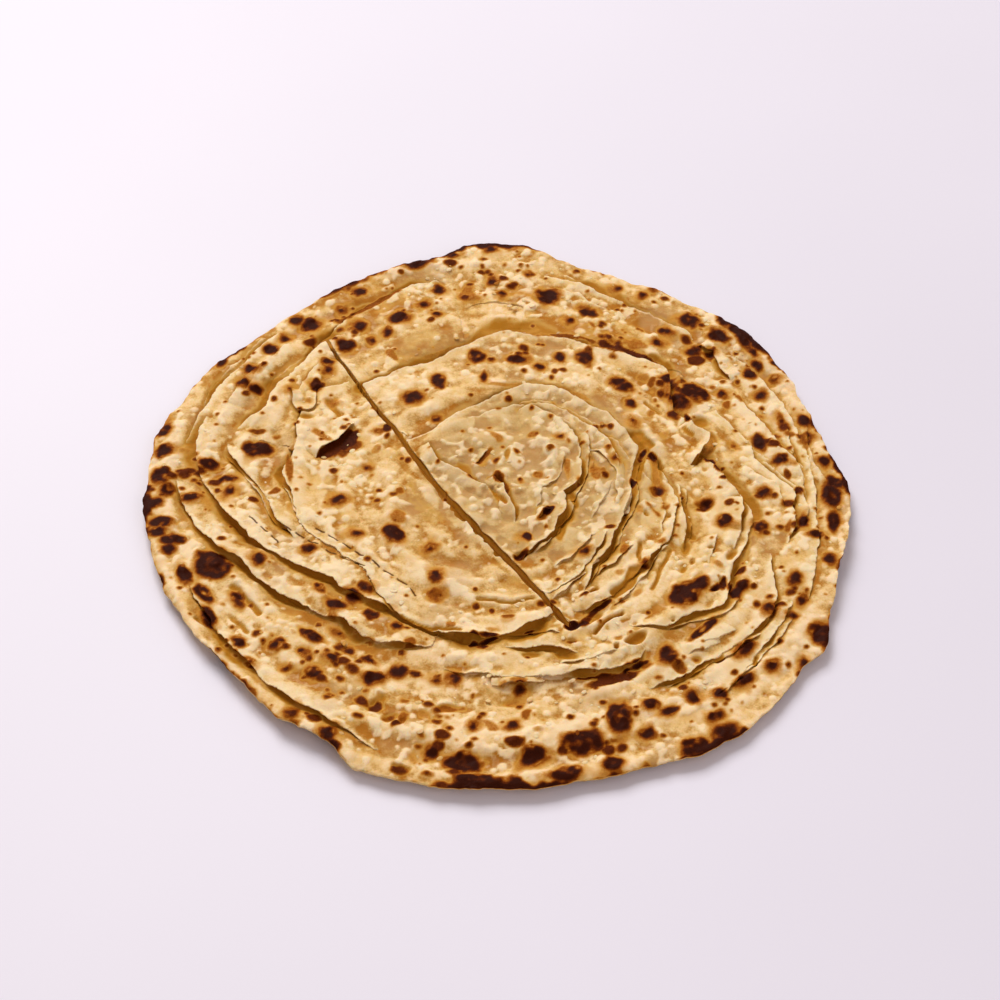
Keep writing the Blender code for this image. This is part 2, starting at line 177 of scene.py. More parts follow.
# %% Leaf table
# name, reach inward, stations (angle, lift, hollow width, hollow depth), edge (angle, radius)
LEAVES = (
    ("rim_west", 20, ((136, 0.5, 1.3, 0.7), (150, 0.6, 1.8, 0.9), (168, 0.4, 1.4, 0.6)),
        ((133, 93), (136, 92.5), (142, 92), (150, 92), (160, 92), (168, 91.6), (171, 91))),
    ("rim_southwest", 20,
        ((204, 0.4, 1.2, 0.6), (218, 0.6, 1.8, 1), (230, 0.8, 3, 1.2), (242, 0.5, 1.8, 0.9),
         (252, 0.3, 1, 0.5)),
        ((202, 92), (205, 92.3), (211, 93), (218, 93.3), (226, 93.6), (233, 94), (240, 94.3), (246, 96),
         (250, 98), (254, 99.5))),
    ("rim_east", 34, ((334, 0.4, 1, 0.6), (365, 0.35, 0.8, 0.6), (396, 0.35, 0.9, 0.6)),
        ((331, 95.6), (334, 95), (340, 94), (348, 92), (356, 90.5), (365, 90.6), (380, 91), (390, 91),
         (396, 90.5), (399, 90))),
    ("rim_southeast", 18, ((308, 0.4, 1.2, 0.7), (331, 0.4, 1.2, 0.6)),
        ((305, 95), (308, 94.8), (314, 94), (320, 93), (326, 92), (331, 91.6), (334, 91))),
    ("north", 30, ((46, 0.5, 1.8, 0.7), (60, 0.8, 3, 1.1), (72, 0.8, 3.2, 1.1), (80, 0.5, 2.4, 0.8)),
        ((44, 86), (48, 86.5), (55, 87), (62, 87.2), (70, 88), (75, 91), (80, 92), (84, 92.6))),
    ("northwest", 32, ((103, 0.6, 1.8, 1), (115, 0.9, 2.6, 1.6), (130, 0.9, 2.6, 1.6)),
        ((99, 91), (103, 90.4), (107, 89.8), (109, 88.6), (114, 87.1), (118, 85.7), (123, 84.4),
         (126, 82.7), (130, 81.5), (133, 80.5), (136, 79.6))),
    ("south_band", 18, ((258, 0.12, 0.5, 0.2), (275, 0.12, 0.5, 0.2), (291, 0.2, 0.8, 0.3)),
        ((254, 83.4), (258, 84), (266, 85), (275, 85.5), (284, 84), (291, 81.5), (294, 80))),
    ("lower_right", 26,
        ((300, 0.5, 1.6, 0.8), (318, 0.6, 1.8, 1), (330, 0.5, 1.6, 0.9), (341, 0.4, 1.4, 0.7)),
        ((297, 83.4), (300, 84), (305.6, 84.9), (310, 85.4), (313, 85.8), (318, 87), (322, 88),
         (326, 88.5), (330, 87.5), (333, 85.2), (336.4, 82.7), (341, 80.5), (344, 79.5))),
    ("east_outer_fold", 14, ((366, 0.3, 1, 0.5), (378, 0.45, 1.5, 0.8), (388, 0.4, 1.4, 0.7)),
        ((360, 89), (362.7, 88.5), (366.5, 86.6), (371.2, 83.6), (377.9, 81.4), (384.5, 80.3),
         (388.3, 81.1), (392, 82.5))),
    ("east_fold", 16, ((346, 0.4, 1.4, 0.8), (354, 0.5, 1.8, 1), (363, 0.5, 2, 1), (372, 0.4, 1.6, 0.8)),
        ((343, 84), (347.2, 84.9), (350.9, 85.4), (357.2, 85.3), (360, 83.5), (362.7, 79.6),
         (367.8, 75.8), (371, 75.4), (374, 76.3), (377, 78))),
    ("torn_end", 20,
        ((262, 0.15, 0.5, 0.2), (286, 0.2, 0.6, 0.3), (291, 1.2, 6.4, 2.4), (301, 1.1, 5.4, 2.3)),
        ((258, 68), (262, 69), (270, 70), (280, 71.5), (287, 72.5), (294, 73.8), (300, 74.5), (303, 73),
         (305, 71))),
    ("long_west", 20,
        ((180, 0.9, 0.9, 0.9), (199, 1, 1.1, 1), (206, 1.2, 5, 1.5), (214, 1.2, 4.6, 1.4),
         (222, 1.1, 3, 1.3), (240, 1, 3, 1.2), (250, 0.7, 2, 0.9)),
        ((176, 92), (180, 91), (183, 89.7), (189, 86.4), (194, 82.9), (199, 79.7), (202, 76.2),
         (206, 75.4), (213, 72), (219, 69.2), (225, 67.3), (229, 65), (235, 65.9), (241, 66.3),
         (246, 64.7), (250, 63.5), (254, 62.5))),
    ("inner_west", 18,
        ((162, 0.8, 2, 1), (172, 1, 2.4, 1.2), (196, 1, 4, 1.3), (202, 0.9, 1.6, 1), (225, 0.9, 1.6, 1),
         (236, 1, 2.5, 1.2), (246, 0.6, 1.6, 0.8)),
        ((159, 89.4), (162, 89.6), (166, 89.2), (170, 88.3), (174, 86.4), (179, 83.9), (184, 79.9),
         (189, 77.1), (193, 74.6), (198, 71.4), (203, 66.8), (208, 63.9), (213, 60), (219, 59), (229, 56),
         (242, 53.6), (246, 53), (250, 52.5))),
    ("island", 24, ((127, 0.8, 3.4, 1.5), (150, 0.8, 4, 1.6), (162, 0.5, 2, 0.9)),
        ((124, 78.2), (127, 78.6), (131, 78.9), (135, 79.2), (141, 77.7), (147, 77), (152, 76), (156, 74),
         (159, 77), (162, 79), (165, 80))),
    ("island_inner", 14, ((168, 0.6, 1.8, 1.1), (180, 0.7, 2.1, 1.3), (198, 0.6, 1.6, 1)),
        ((165, 81), (168, 80), (172, 77), (176, 72), (180, 67.7), (186, 64.6), (193, 62.3), (198, 60.4),
         (202, 59))),
    ("torn_lip", 12, ((272, 0.5, 1.6, 0.8), (286, 0.7, 2.2, 1.1), (290, 0.6, 2, 1)),
        ((268, 60), (272, 60.5), (280, 61.5), (286, 63.5), (290, 66), (292, 67))),
    ("left_half", 60,
        ((138, 0.4, 1.2, 0.6), (152, 0.9, 2.2, 1.2), (157, 0.3, 0.9, 0.5), (164, 0.9, 2.4, 1.7),
         (176, 0.9, 2.4, 1.7), (183, 0.3, 0.8, 0.5), (190, 0.15, 0.5, 0.25), (224, 0.15, 0.5, 0.25),
         (240, 0.9, 2.4, 1.3), (252, 1.3, 4.2, 1.9), (282, 1.4, 4.2, 1.9), (289.5, 1, 2.5, 1.4)),
        ((132, 60), (138, 62), (146, 66.5), (150, 65.5), (156, 63.5), (163, 60.8), (170, 60.1),
         (177, 61.5), (181, 59.2), (187, 57.6), (193, 57), (199, 56), (209, 51), (215, 49.7), (221, 48.7),
         (226, 49.5), (232, 52.5), (236, 54), (241, 55.5), (247, 56.6), (252, 57), (258, 57), (263, 58),
         (270, 56.5), (277, 54.5), (285, 52), (289.5, 49.5), (292, 47))),
    ("east", 26,
        ((304, 0.5, 1.4, 0.7), (318, 0.6, 1.8, 0.9), (338, 0.8, 3.2, 1.3), (352, 0.9, 3.2, 1.4),
         (366, 0.9, 2.8, 1.4), (374, 0.7, 2, 1)),
        ((301, 62), (304, 64), (306, 66), (309.7, 70.5), (314.6, 71.3), (318, 73), (322, 75.8), (324, 77),
         (328, 74.6), (332, 73.4), (336, 72.6), (341, 72.5), (345, 73.4), (349, 74), (353, 72.5),
         (356, 69.8), (360, 66), (364, 63.7), (370, 61), (374, 59.5), (377, 58))),
    ("band_north", 28,
        ((8, 0.8, 1.6, 0.9), (18, 1, 2.2, 1.1), (26, 0.3, 1, 0.7), (40, 0.3, 2.4, 1.2),
         (46, 0.7, 4.6, 1.8), (66, 0.7, 8, 2.1), (88, 0.7, 7.5, 2.1), (100, 0.6, 4.5, 1.8),
         (118, 0.5, 2.6, 1.2), (134, 0.7, 1.8, 1.1)),
        ((4, 55), (8, 57), (12, 59.5), (16, 63.4), (20, 63), (25, 60.8), (30, 60), (36, 63), (40, 67),
         (44, 69.2), (48, 67.8), (53, 65.9), (63, 64.2), (75, 64.2), (82, 63.3), (90, 63.4), (95, 61),
         (100, 58.7), (109, 55.2), (121, 55.3), (127, 55.7), (134, 56.8), (138, 57.5), (142, 58))),
    ("scallop_east", 16, ((336, 0.5, 1.6, 1), (346, 0.5, 1.6, 1), (358, 0.4, 1.2, 0.8)),
        ((332, 57.5), (336, 56.3), (345, 54.6), (350, 53.4), (360, 51.2), (363, 50.6))),
    ("coil_skirt", 16,
        ((298, 0.7, 3, 1.6), (313, 0.8, 2.4, 1.4), (330, 0.6, 1.6, 1), (345, 0.5, 1.4, 0.9),
         (360, 0.5, 1.4, 0.9), (377, 0.5, 1.4, 0.9)),
        ((294, 51), (298, 51.8), (306, 52.4), (313, 51.9), (319, 51), (328, 50.6), (337, 52.4),
         (345, 51.8), (353, 50.6), (360, 49), (367.5, 47), (378, 46), (381, 45.2))),
    ("coil", 50,
        ((302, 0.9, 1.4, 1.2), (330, 1.2, 1.2, 1.3), (350, 1.2, 2.2, 1.5), (360, 1.2, 2.8, 1.6),
         (380, 1.2, 2, 1.4), (400, 1.2, 1.2, 1.3), (425, 1.4, 2.2, 1.6), (445, 1.4, 2.6, 1.8),
         (462, 1.2, 1.8, 1.5), (476, 0.8, 1.4, 0.9), (492, 0.5, 1, 0.6), (512, 0.1, 0.6, 0.2),
         (655, 0.1, 0.6, 0.2)),
        ((298, 49), (302, 46), (306, 43.9), (310, 41.2), (320, 40), (333, 37.8), (345, 37.2), (354, 37.6),
         (367, 39), (374, 40.2), (379, 43.2), (392, 42.8), (402, 43.4), (410, 42), (420, 42.8),
         (430, 42.4), (438, 40.6), (445, 38.3), (454, 34.7), (466, 32), (476, 30.5), (492, 29.5),
         (504, 31), (512, 33), (532, 25), (578, 20), (616, 24), (631, 31), (639, 37), (646, 47),
         (655, 60))),
    ("coil_ring_south", 18, ((292, 0.4, 1, 0.6), (318, 0.5, 1, 0.7), (336, 0.4, 0.8, 0.6)),
        ((284, 44.5), (290, 43), (299, 41), (306, 40), (311, 38.8), (322, 37.4), (332, 35.6), (342, 34.6))),
    ("coil_ring_north", 12,
        ((352, 0.5, 1, 0.7), (372, 0.7, 1.4, 0.9), (390, 0.6, 1.2, 0.9), (412, 0.5, 1, 0.7),
         (440, 0.5, 1, 0.7), (460, 0.3, 0.8, 0.5)),
        ((346, 34.2), (357, 34.6), (365, 35.4), (374, 36.8), (384.7, 37), (393.6, 36.1), (404, 35.2),
         (420, 36.4), (440, 33), (460, 28), (476, 27))),
    ("coil_inner", 13,
        ((288, 0.8, 1.2, 1), (306, 0.7, 2, 1.2), (322, 1, 3.2, 1.7), (352, 1.1, 2.4, 1.7),
         (385, 0.9, 1.4, 1.1), (412, 0.7, 1.2, 0.9), (432, 0.5, 1, 0.7)),
        ((278, 31), (281.5, 30), (287.7, 27), (296, 26.4), (303.3, 26), (312, 23.6), (322.7, 21),
         (337.4, 21.1), (344, 20.4), (351.7, 20.1), (364.2, 23.3), (376, 24.9), (394, 28.3), (407, 30.6),
         (420, 32.4), (427, 32.8), (436, 32.5), (446, 31))),
)
print(len(LEAVES), "leaves,", sum(len(leaf[3]) for leaf in LEAVES), "edge points")

# %% [markdown]
# Between the large leaves lie finer ones, where a leaf has split along its length. They follow
# their parent's edge, a few millimetres inside it or just outside, over a part of its length.
# Their places are random, with a fixed seed, because they are many and none is a landmark.

# %% Fine leaves
# Lift, hollow width and hollow depth of a leaf just outside its parent's edge, and of one inside it
FINE_STANDING = ((0.30, 1.3, 0.26), (0.34, 1.5, 0.26))
SMOOTH_STRIPS = ("inner_west", "long_west", "rim_southwest", "left_half", "northwest", "band_north")
FINE_LENGTH = (14.0, 42.0)
FINE_REACH = 7.0
FINE_POINTS = 7
JUST_OUTSIDE = (1.3, 2.6)
WELL_INSIDE = (2.4, 8.0)
MOST_SLANT = 1.6
# A parent gets one fine leaf for each of these lengths in mm that it is longer than
OUTSIDE_FROM = (30, 90)
INSIDE_FROM = (24, 60, 100)


def radius_at(edge, angles):
    """The radius of an edge at some angles."""
    return np.interp(angles, [p[0] for p in edge], [p[1] for p in edge])


def split_off(leaf, pick, outside):
    """A fine leaf beside a part of a large leaf's edge."""
    name, _, _, edge = leaf
    first, last = edge[0][0], edge[-1][0]
    for_mm = math.degrees(1.0 / radius_at(edge, 0.5 * (first + last)))
    length = min(pick.uniform(*FINE_LENGTH) * for_mm, 0.8 * (last - first))
    start = pick.uniform(first + 2, last - 2 - length)
    at = np.linspace(start, start + length, FINE_POINTS)
    away = pick.uniform(*JUST_OUTSIDE) if outside else -pick.uniform(*WELL_INSIDE)
    slant = pick.uniform(-MOST_SLANT, MOST_SLANT)
    line = radius_at(edge, at) + away + np.linspace(-slant, slant, FINE_POINTS)
    line = line + 0.35 * pick.standard_normal(FINE_POINTS)
    lift, width, depth = FINE_STANDING[0 if outside else 1]
    lift *= pick.uniform(0.7, 1.5)
    width *= pick.uniform(0.5, 1.6)
    rows = tuple((float(a), float(r)) for a, r in zip(at, line))
    return (name + ("_under" if outside else "_split"), FINE_REACH,
            ((start, lift, width, depth), (start + length, lift, width, depth)), rows)


def with_fine_leaves(leaves, seed):
    """The leaf list with fine leaves before and after each large one."""
    pick = np.random.default_rng(seed)
    result = []
    for leaf in leaves:
        size = (leaf[3][-1][0] - leaf[3][0][0]) * math.radians(leaf[3][0][1])
        size *= 0.0 if leaf[0] in SMOOTH_STRIPS else 1.0
        under = [split_off(leaf, pick, True) for least in OUTSIDE_FROM if size > least]
        split = [split_off(leaf, pick, False) for least in INSIDE_FROM if size > least]
        result += [(f"{name}_{k}" if name != leaf[0] else name, *rest)
                   for k, (name, *rest) in enumerate(under + [leaf] + split)]
    return result


all_leaves = with_fine_leaves(LEAVES, 17)
print(len(all_leaves), "leaves with the fine ones")

# %% [markdown]
# Some free edges don't follow the coil: torn flaps, a hanging lobe, a curled lip and a raised
# tongue. Their edges are lines through points, and the sheet lies on the left of the walk from
# the first point to the last. They are laid last, because they rest on top of the coil.

# %% Flaps
# name, reach, lift, hollow width, hollow depth, edge (x, y) in millimetres
FLAPS = (
    ("hanging_lobe", 5, 0.5, 1.6, 0.4,
        ((-60.6, 40), (-60.4, 35.4), (-59.6, 32), (-58, 30.3), (-56.3, 29.9), (-54.6, 30.6),
         (-53.6, 32.6), (-53.3, 36), (-53.6, 40))),
    ("torn_flap", 9, 1.5, 3.2, 0.5,
        ((-52.6, 10.2), (-50.3, 13.9), (-48.5, 15.9), (-46.7, 17.5), (-44.5, 20.6), (-43, 22.6),
         (-41, 25.6))),
    ("curled_lip", 5.5, 2, 2.6, 1.3,
        ((55, 7.3), (57, 9), (58.6, 11), (59.4, 12.8), (61.3, 14.9), (61.8, 16.8), (61.2, 18.8),
         (59.8, 20.6), (57.8, 22.2), (56.4, 23.8), (55.4, 26.4))),
    ("east_lip", 8, 0.8, 2, 1, ((68, -19), (68.7, -12.7), (69.8, -9.9), (69.4, -3.3))),
    ("back_band", 7, 0.6, 2.4, 0.8,
        ((60.2, 60), (63, 58.3), (65.5, 57), (65.6, 54), (66.8, 50.5), (68.3, 47), (70.4, 43.6))),
    ("ring_ridge", 4, 0.4, 1.2, 0.3,
        ((26.4, 14.2), (29.8, 12.2), (31.4, 8.6), (34, 5.2), (33.8, -0.4), (34.8, -3.4), (33, -9.6))),
    ("strip_by_cut", 6, 1.1, 2.2, 1.1,
        ((3.2, -8.1), (0.4, -4.1), (-4.1, -0.2), (-8.1, 3), (-12.8, 6.2), (-16.2, 8.2), (-18.8, 13.6),
         (-20.4, 17.6))),
    ("tongue", 3.6, 1.1, 2.4, 1.5,
        ((5.4, -14), (4.3, -8.5), (2.9, -4.3), (2.2, -2), (0.8, 0.8), (-1.2, 5.4))),
    ("pocket_flap", 4, 0.4, 0.8, 0.35, ((-6.9, 7.6), (-5.2, 10.2), (-3.4, 12.4), (-1.6, 14.6))),
    ("char_flake", 2.6, 1.2, 1.3, 0.6, ((11.6, -14.2), (13.3, -11.6), (16.2, -8.3))),
)
LINE_STEP = 0.3
POINTS_AT_ONCE = 20000


def smoothed(row, reach, sigma):
    """A row of values softened by a bell curve, its two ends carried on straight."""
    kernel = np.exp(-0.5 * (np.arange(-reach, reach + 1) / sigma) ** 2)
    padded = np.pad(row, reach, mode="reflect", reflect_type="odd")
    return np.convolve(padded, kernel / kernel.sum(), mode="valid")


def torn_line(points, seed):
    """A line with rounded corners and a torn wobble, a point each LINE_STEP millimetres."""
    points = np.array(points, float)
    lengths = np.hypot(*np.diff(points, axis=0).T)
    at = np.concatenate([[0.0], np.cumsum(lengths)])
    fine = np.arange(0.0, at[-1], LINE_STEP)
    line = np.stack([smoothed(np.interp(fine, at, points[:, k]), 6, 2.6) for k in (0, 1)], 1)
    ahead = np.gradient(line, axis=0)
    ahead /= np.hypot(ahead[:, 0], ahead[:, 1])[:, None]
    away = np.stack([ahead[:, 1], -ahead[:, 0]], 1)
    wobble = 0.22 * rough_line(4 * len(line), 5, seed) + 0.10 * rough_line(4 * len(line), 2, seed + 1)
    return line + away * wobble[:len(line), None], ahead, away


def window_round(points, margin):
    """The part of the map round some points (x, y), as row and column slices."""
    slices = []
    for values in np.transpose(points)[::-1]:
        low = int((values.min() - margin - samples[0]) / PITCH) // 2 * 2
        high = int((values.max() + margin - samples[0]) / PITCH) // 2 * 2
        slices.append(slice(max(low, 0), min(high, CELLS)))
    return tuple(slices)


def line_fields(points, window, seed):
    """Signed distance beyond a line, and distance to its nearer end."""
    line, ahead, away = torn_line(points, seed)
    x, y = map_x[window].ravel(), map_y[window].ravel()
    near = np.empty(len(x), int)
    for start in range(0, len(x), POINTS_AT_ONCE):
        part = slice(start, start + POINTS_AT_ONCE)
        near[part] = np.argmin((x[part, None] - line[:, 0]) ** 2 + (y[part, None] - line[:, 1]) ** 2, 1)
    dx, dy = x - line[near, 0], y - line[near, 1]
    beyond = dx * away[near, 0] + dy * away[near, 1]
    along = near * LINE_STEP + dx * ahead[near, 0] + dy * ahead[near, 1]
    ends = np.minimum(along, len(line) * LINE_STEP - along)
    shape = map_x[window].shape
    return beyond.reshape(shape).astype(np.float32), ends.reshape(shape).astype(np.float32)


print(len(FLAPS), "flaps")

# %% [markdown]
# ## The knife cut
# The cut is a straight pull of a knife that bends a little, and it stops short of the rim on both
# sides. It goes through every leaf, down to the lowest dough. Here it is kept as a distance map,
# and each leaf simply has no dough within half a blade's gap of that line, so that every sheet
# gets a clean side wall.

# %% Distance to the cut
CUT_LINE = ((-51.5, 60), (-47.3, 52), (-40.5, 40.8), (-36, 32.3), (-30.3, 24), (-25, 13.7), (-18.8, 2.8),
    (-11.4, -9.1), (-4.7, -18.5), (0.3, -25.5), (4.7, -31), (10.6, -39.5), (15.5, -46.5), (19, -52.2))
CUT_HALF_BACK = 0.52
CUT_HALF_FRONT = 0.98
# The cut widens over this share of its length, and then its side is torn up to the next
TORN_FROM = 0.45
TORN_TO = 0.85
TORN_DEPTH = 0.62


def line_distance(points):
    """Distance to a broken line, the side of it, and the share of its length reached."""
    best = np.full(map_x.shape, 1e6, np.float32)
    side = np.zeros_like(best)
    reach = np.zeros_like(best)
    steps = [math.dist(a, b) for a, b in zip(points, points[1:])]
    done = 0.0
    for (ax, ay), (bx, by), length in zip(points, points[1:], steps):
        ux, uy = (bx - ax) / length, (by - ay) / length
        raw = (map_x - ax) * ux + (map_y - ay) * uy
        along = np.clip(raw, 0.0, length)
        gap = np.hypot(map_x - ax - along * ux, map_y - ay - along * uy)
        nearer = gap < best
        best = np.where(nearer, gap, best)
        side = np.where(nearer, np.sign((map_x - ax) * uy - (map_y - ay) * ux), side)
        reach = np.where(nearer, (done + along) / sum(steps), reach)
        done += length
    return best, side, reach


cut_gap, cut_side, cut_share = line_distance(CUT_LINE)
cut_half = CUT_HALF_BACK + (CUT_HALF_FRONT - CUT_HALF_BACK) * ease(cut_share / TORN_FROM)
cut_half *= 1.0 + 0.10 * rough(2.5, 21)
torn_side = ease((cut_share - TORN_FROM) / 0.1) * ease((TORN_TO - cut_share) / 0.1) * (cut_side > 0)
cut_half += TORN_DEPTH * np.clip(rough(0.8, 22) - 0.3, 0, 1.5) * torn_side
beside_cut = cut_gap - cut_half
print("cut length in mm:", round(sum(math.dist(a, b) for a, b in zip(CUT_LINE, CUT_LINE[1:]))))

# %% [markdown]
# ## Laying the leaves
# A loop lays the leaves from the rim inwards. Each one first presses its hollow into what lies
# there already, then drapes over a softened copy of that surface: buried at its inner side, just
# above it on its face, and lifted towards its free edge. At both ends it sinks away. What later
# leaves press is taken off each earlier leaf at the end, so that all of them stay in order.

# %% A leaf's edge on the map
LIFT_SHARE = 0.72
DEPTH_SHARE = 0.78
WINDOW_MARGIN = 9.0
WHOLE = (slice(0, CELLS), slice(0, CELLS))
# Degrees from one point of a free edge to the next
EDGE_STEP = 0.1
# Wobble of a free edge: height in mm, and width in tenths of a mm
WOBBLES = ((0.34, 26), (0.15, 8), (0.08, 3))
# How unevenly the edge lifts and the hollow spreads, and the width of that in tenths of a mm
RUFFLE = 0.52
FINE_RUFFLE_WIDTH = 9
RUFFLE_WIDTH = 28
SPREAD = 0.42
SPREAD_WIDTH = 34


def every(step, window=WHOLE):
    """Each step-th row and column of a window."""
    rows, cols = window
    return slice(rows.start, rows.stop, step), slice(cols.start, cols.stop, step)


def leaf_window(leaf):
    """The part of the map that a leaf can touch, as row and column slices."""
    _, reach, _, edge = leaf
    fine = np.linspace(edge[0][0], edge[-1][0], 60)
    outer = radius_at(edge, fine)
    radii = np.concatenate([outer, np.maximum(outer - reach, 0.0)])
    angles = np.radians(np.concatenate([fine, fine]))
    return window_round(np.stack([radii * np.cos(angles), radii * np.sin(angles)], 1), WINDOW_MARGIN)


def edge_fields(leaf, seed, window):
    """The leaf's edge, its standing and its ends as maps, in millimetres."""
    _, reach, stations, edge = leaf
    first, last = edge[0][0], edge[-1][0]
    fine = np.arange(0.0, last - first + EDGE_STEP, EDGE_STEP)
    radius = smoothed(radius_at(edge, fine + first), 30, 9.0)
    steps = len(fine)
    # At a radius of 60 mm, a step is a tenth of a mm
    steps_wide = 60.0 / max(radius.mean(), 20.0)
    for k, (tall, wide) in enumerate(WOBBLES):
        radius += tall * rough_line(4 * steps, wide * steps_wide, seed + k)[:steps]
    wide = FINE_RUFFLE_WIDTH if reach == FINE_REACH else RUFFLE_WIDTH
    ruffle = RUFFLE * rough_line(4 * steps, wide * steps_wide, seed + 3)[:steps]
    ruffle = np.clip(1.0 + ruffle, 0.0, 2.2)
    spread = SPREAD * rough_line(4 * steps, SPREAD_WIDTH * steps_wide, seed + 4)[:steps]
    spread = np.clip(1.0 + spread, 0.3, 2.1)
    along = (map_turn[window] - first) % 360.0
    held = along <= last - first
    along = np.minimum(along, last - first)
    station_turn = [s[0] - first for s in stations]
    columns = [np.interp(fine, station_turn, [s[k] for s in stations]) for k in (1, 2, 3)]
    rows = (radius, LIFT_SHARE * columns[0] * ruffle, columns[1] * spread,
            DEPTH_SHARE * columns[2] * np.minimum(0.35 + 0.65 * ruffle, 1.2))
    line, lift, width, depth = (np.interp(along, fine, row).astype(np.float32) for row in rows)
    ends = np.minimum(along, last - first - along) * np.radians(1.0) * np.maximum(map_r[window], 8.0)
    return map_r[window] - line, lift, width, depth, np.where(held, ends, -1.0)


print("free edges wobble by about", WOBBLES[0][0], "mm")

# %% Painter's loop
# Lengths over which the ends of a leaf and of a flap sink away
END_FADE = 9.0
FLAP_FADE = 3.2
DRAPE = 2.4
FACE_RISE = 0.16
BURIED = 0.55
BURIED_WIDTH = 4.0
LIFT_LENGTH = 12.0
PRESS_INSIDE = 5.0
VALLEY = 4.0
VALLEY_DEPTH = 0.55
FINE_VALLEY = 0.4
STRIDE = 2
# The knife left some leaves on one side of the cut only
LEFT_OF_CUT = ("left_half",)
RIGHT_OF_CUT = ("band_north", "coil", "scallop")
# This leaf and the fine ones beside it are baked flat onto their neighbour, and show no edge
BAKED_FLAT = "south_band"

surface = dome.copy()
pressed = np.zeros_like(dome)
valley = np.zeros_like(dome)
laid = []
for number, leaf in enumerate(all_leaves + list(FLAPS)):
    if leaf[0].startswith(BAKED_FLAT):
        continue
    flap = len(leaf) == 6
    fine = leaf[1] == FINE_REACH
    if flap:
        _, reach, lift, width, depth, edge = leaf
        window = window_round(edge, reach + 3.0)
        beyond, ends = line_fields(edge, window, 900 + 10 * number)
        fade = FLAP_FADE
        width = width * (0.3 + 0.7 * ease(ends / (2.0 * FLAP_FADE)))
    else:
        window = leaf_window(leaf)
        beyond, lift, width, depth, ends = edge_fields(leaf, 100 + 10 * number, window)
        fade = 0.5 * END_FADE if fine else END_FADE
    strength = ease(ends / fade)
    top = blur(surface[window], DRAPE)
    broad = strength * np.where(beyond > 0, 1.0 - ease(beyond / (VALLEY + 1.3 * width)), 1.0)
    broad *= FINE_VALLEY if fine or flap else 1.0
    # Outside the edge the hollow falls steeply, and inside it the press fades out
    outer = np.clip(1.0 - beyond / width, 0, 1) ** 1.5 if flap else 1.0 - ease(beyond / width)
    inner = ease(1.0 + beyond / PRESS_INSIDE)
    press = strength * depth * np.where(beyond > 0, outer, inner) + VALLEY_DEPTH * broad * inner * lift
    inside = np.minimum(np.minimum(-beyond, ends), leaf[1] + beyond)
    for names, side in ((LEFT_OF_CUT, 1), (RIGHT_OF_CUT, -1)):
        if leaf[0].startswith(names):
            inside = np.where(side * cut_side[window] > 0, inside, -5.0)
    inside = np.minimum(inside, beside_cut[window])
    rise = lift * np.clip(1.0 + beyond / min(LIFT_LENGTH, leaf[1]), 0, 1) ** 2.0 + FACE_RISE
    rise -= (FACE_RISE + BURIED) * ease((BURIED_WIDTH - leaf[1] - beyond) / BURIED_WIDTH)
    top += rise * strength - BURIED * (1.0 - strength)
    pressed[window] += press
    surface[window] -= press
    shows = (inside > 0) & (top > surface[window])
    fresh = np.maximum(valley[window], np.where(beyond > -2.0, broad, 0.0))
    valley[window] = np.where(shows, 0.0, fresh)
    surface[window] = np.where(shows, top, surface[window])
    low = every(STRIDE)
    laid.append({
        "name": leaf[0], "window": window, "inside": inside[low].copy(), "edge": -beyond[low],
        "top": top[low].copy(), "pressed": pressed[window][low].copy(),
    })
print("surface tops out at", round(float(surface[share < 1].max()), 2), "mm")
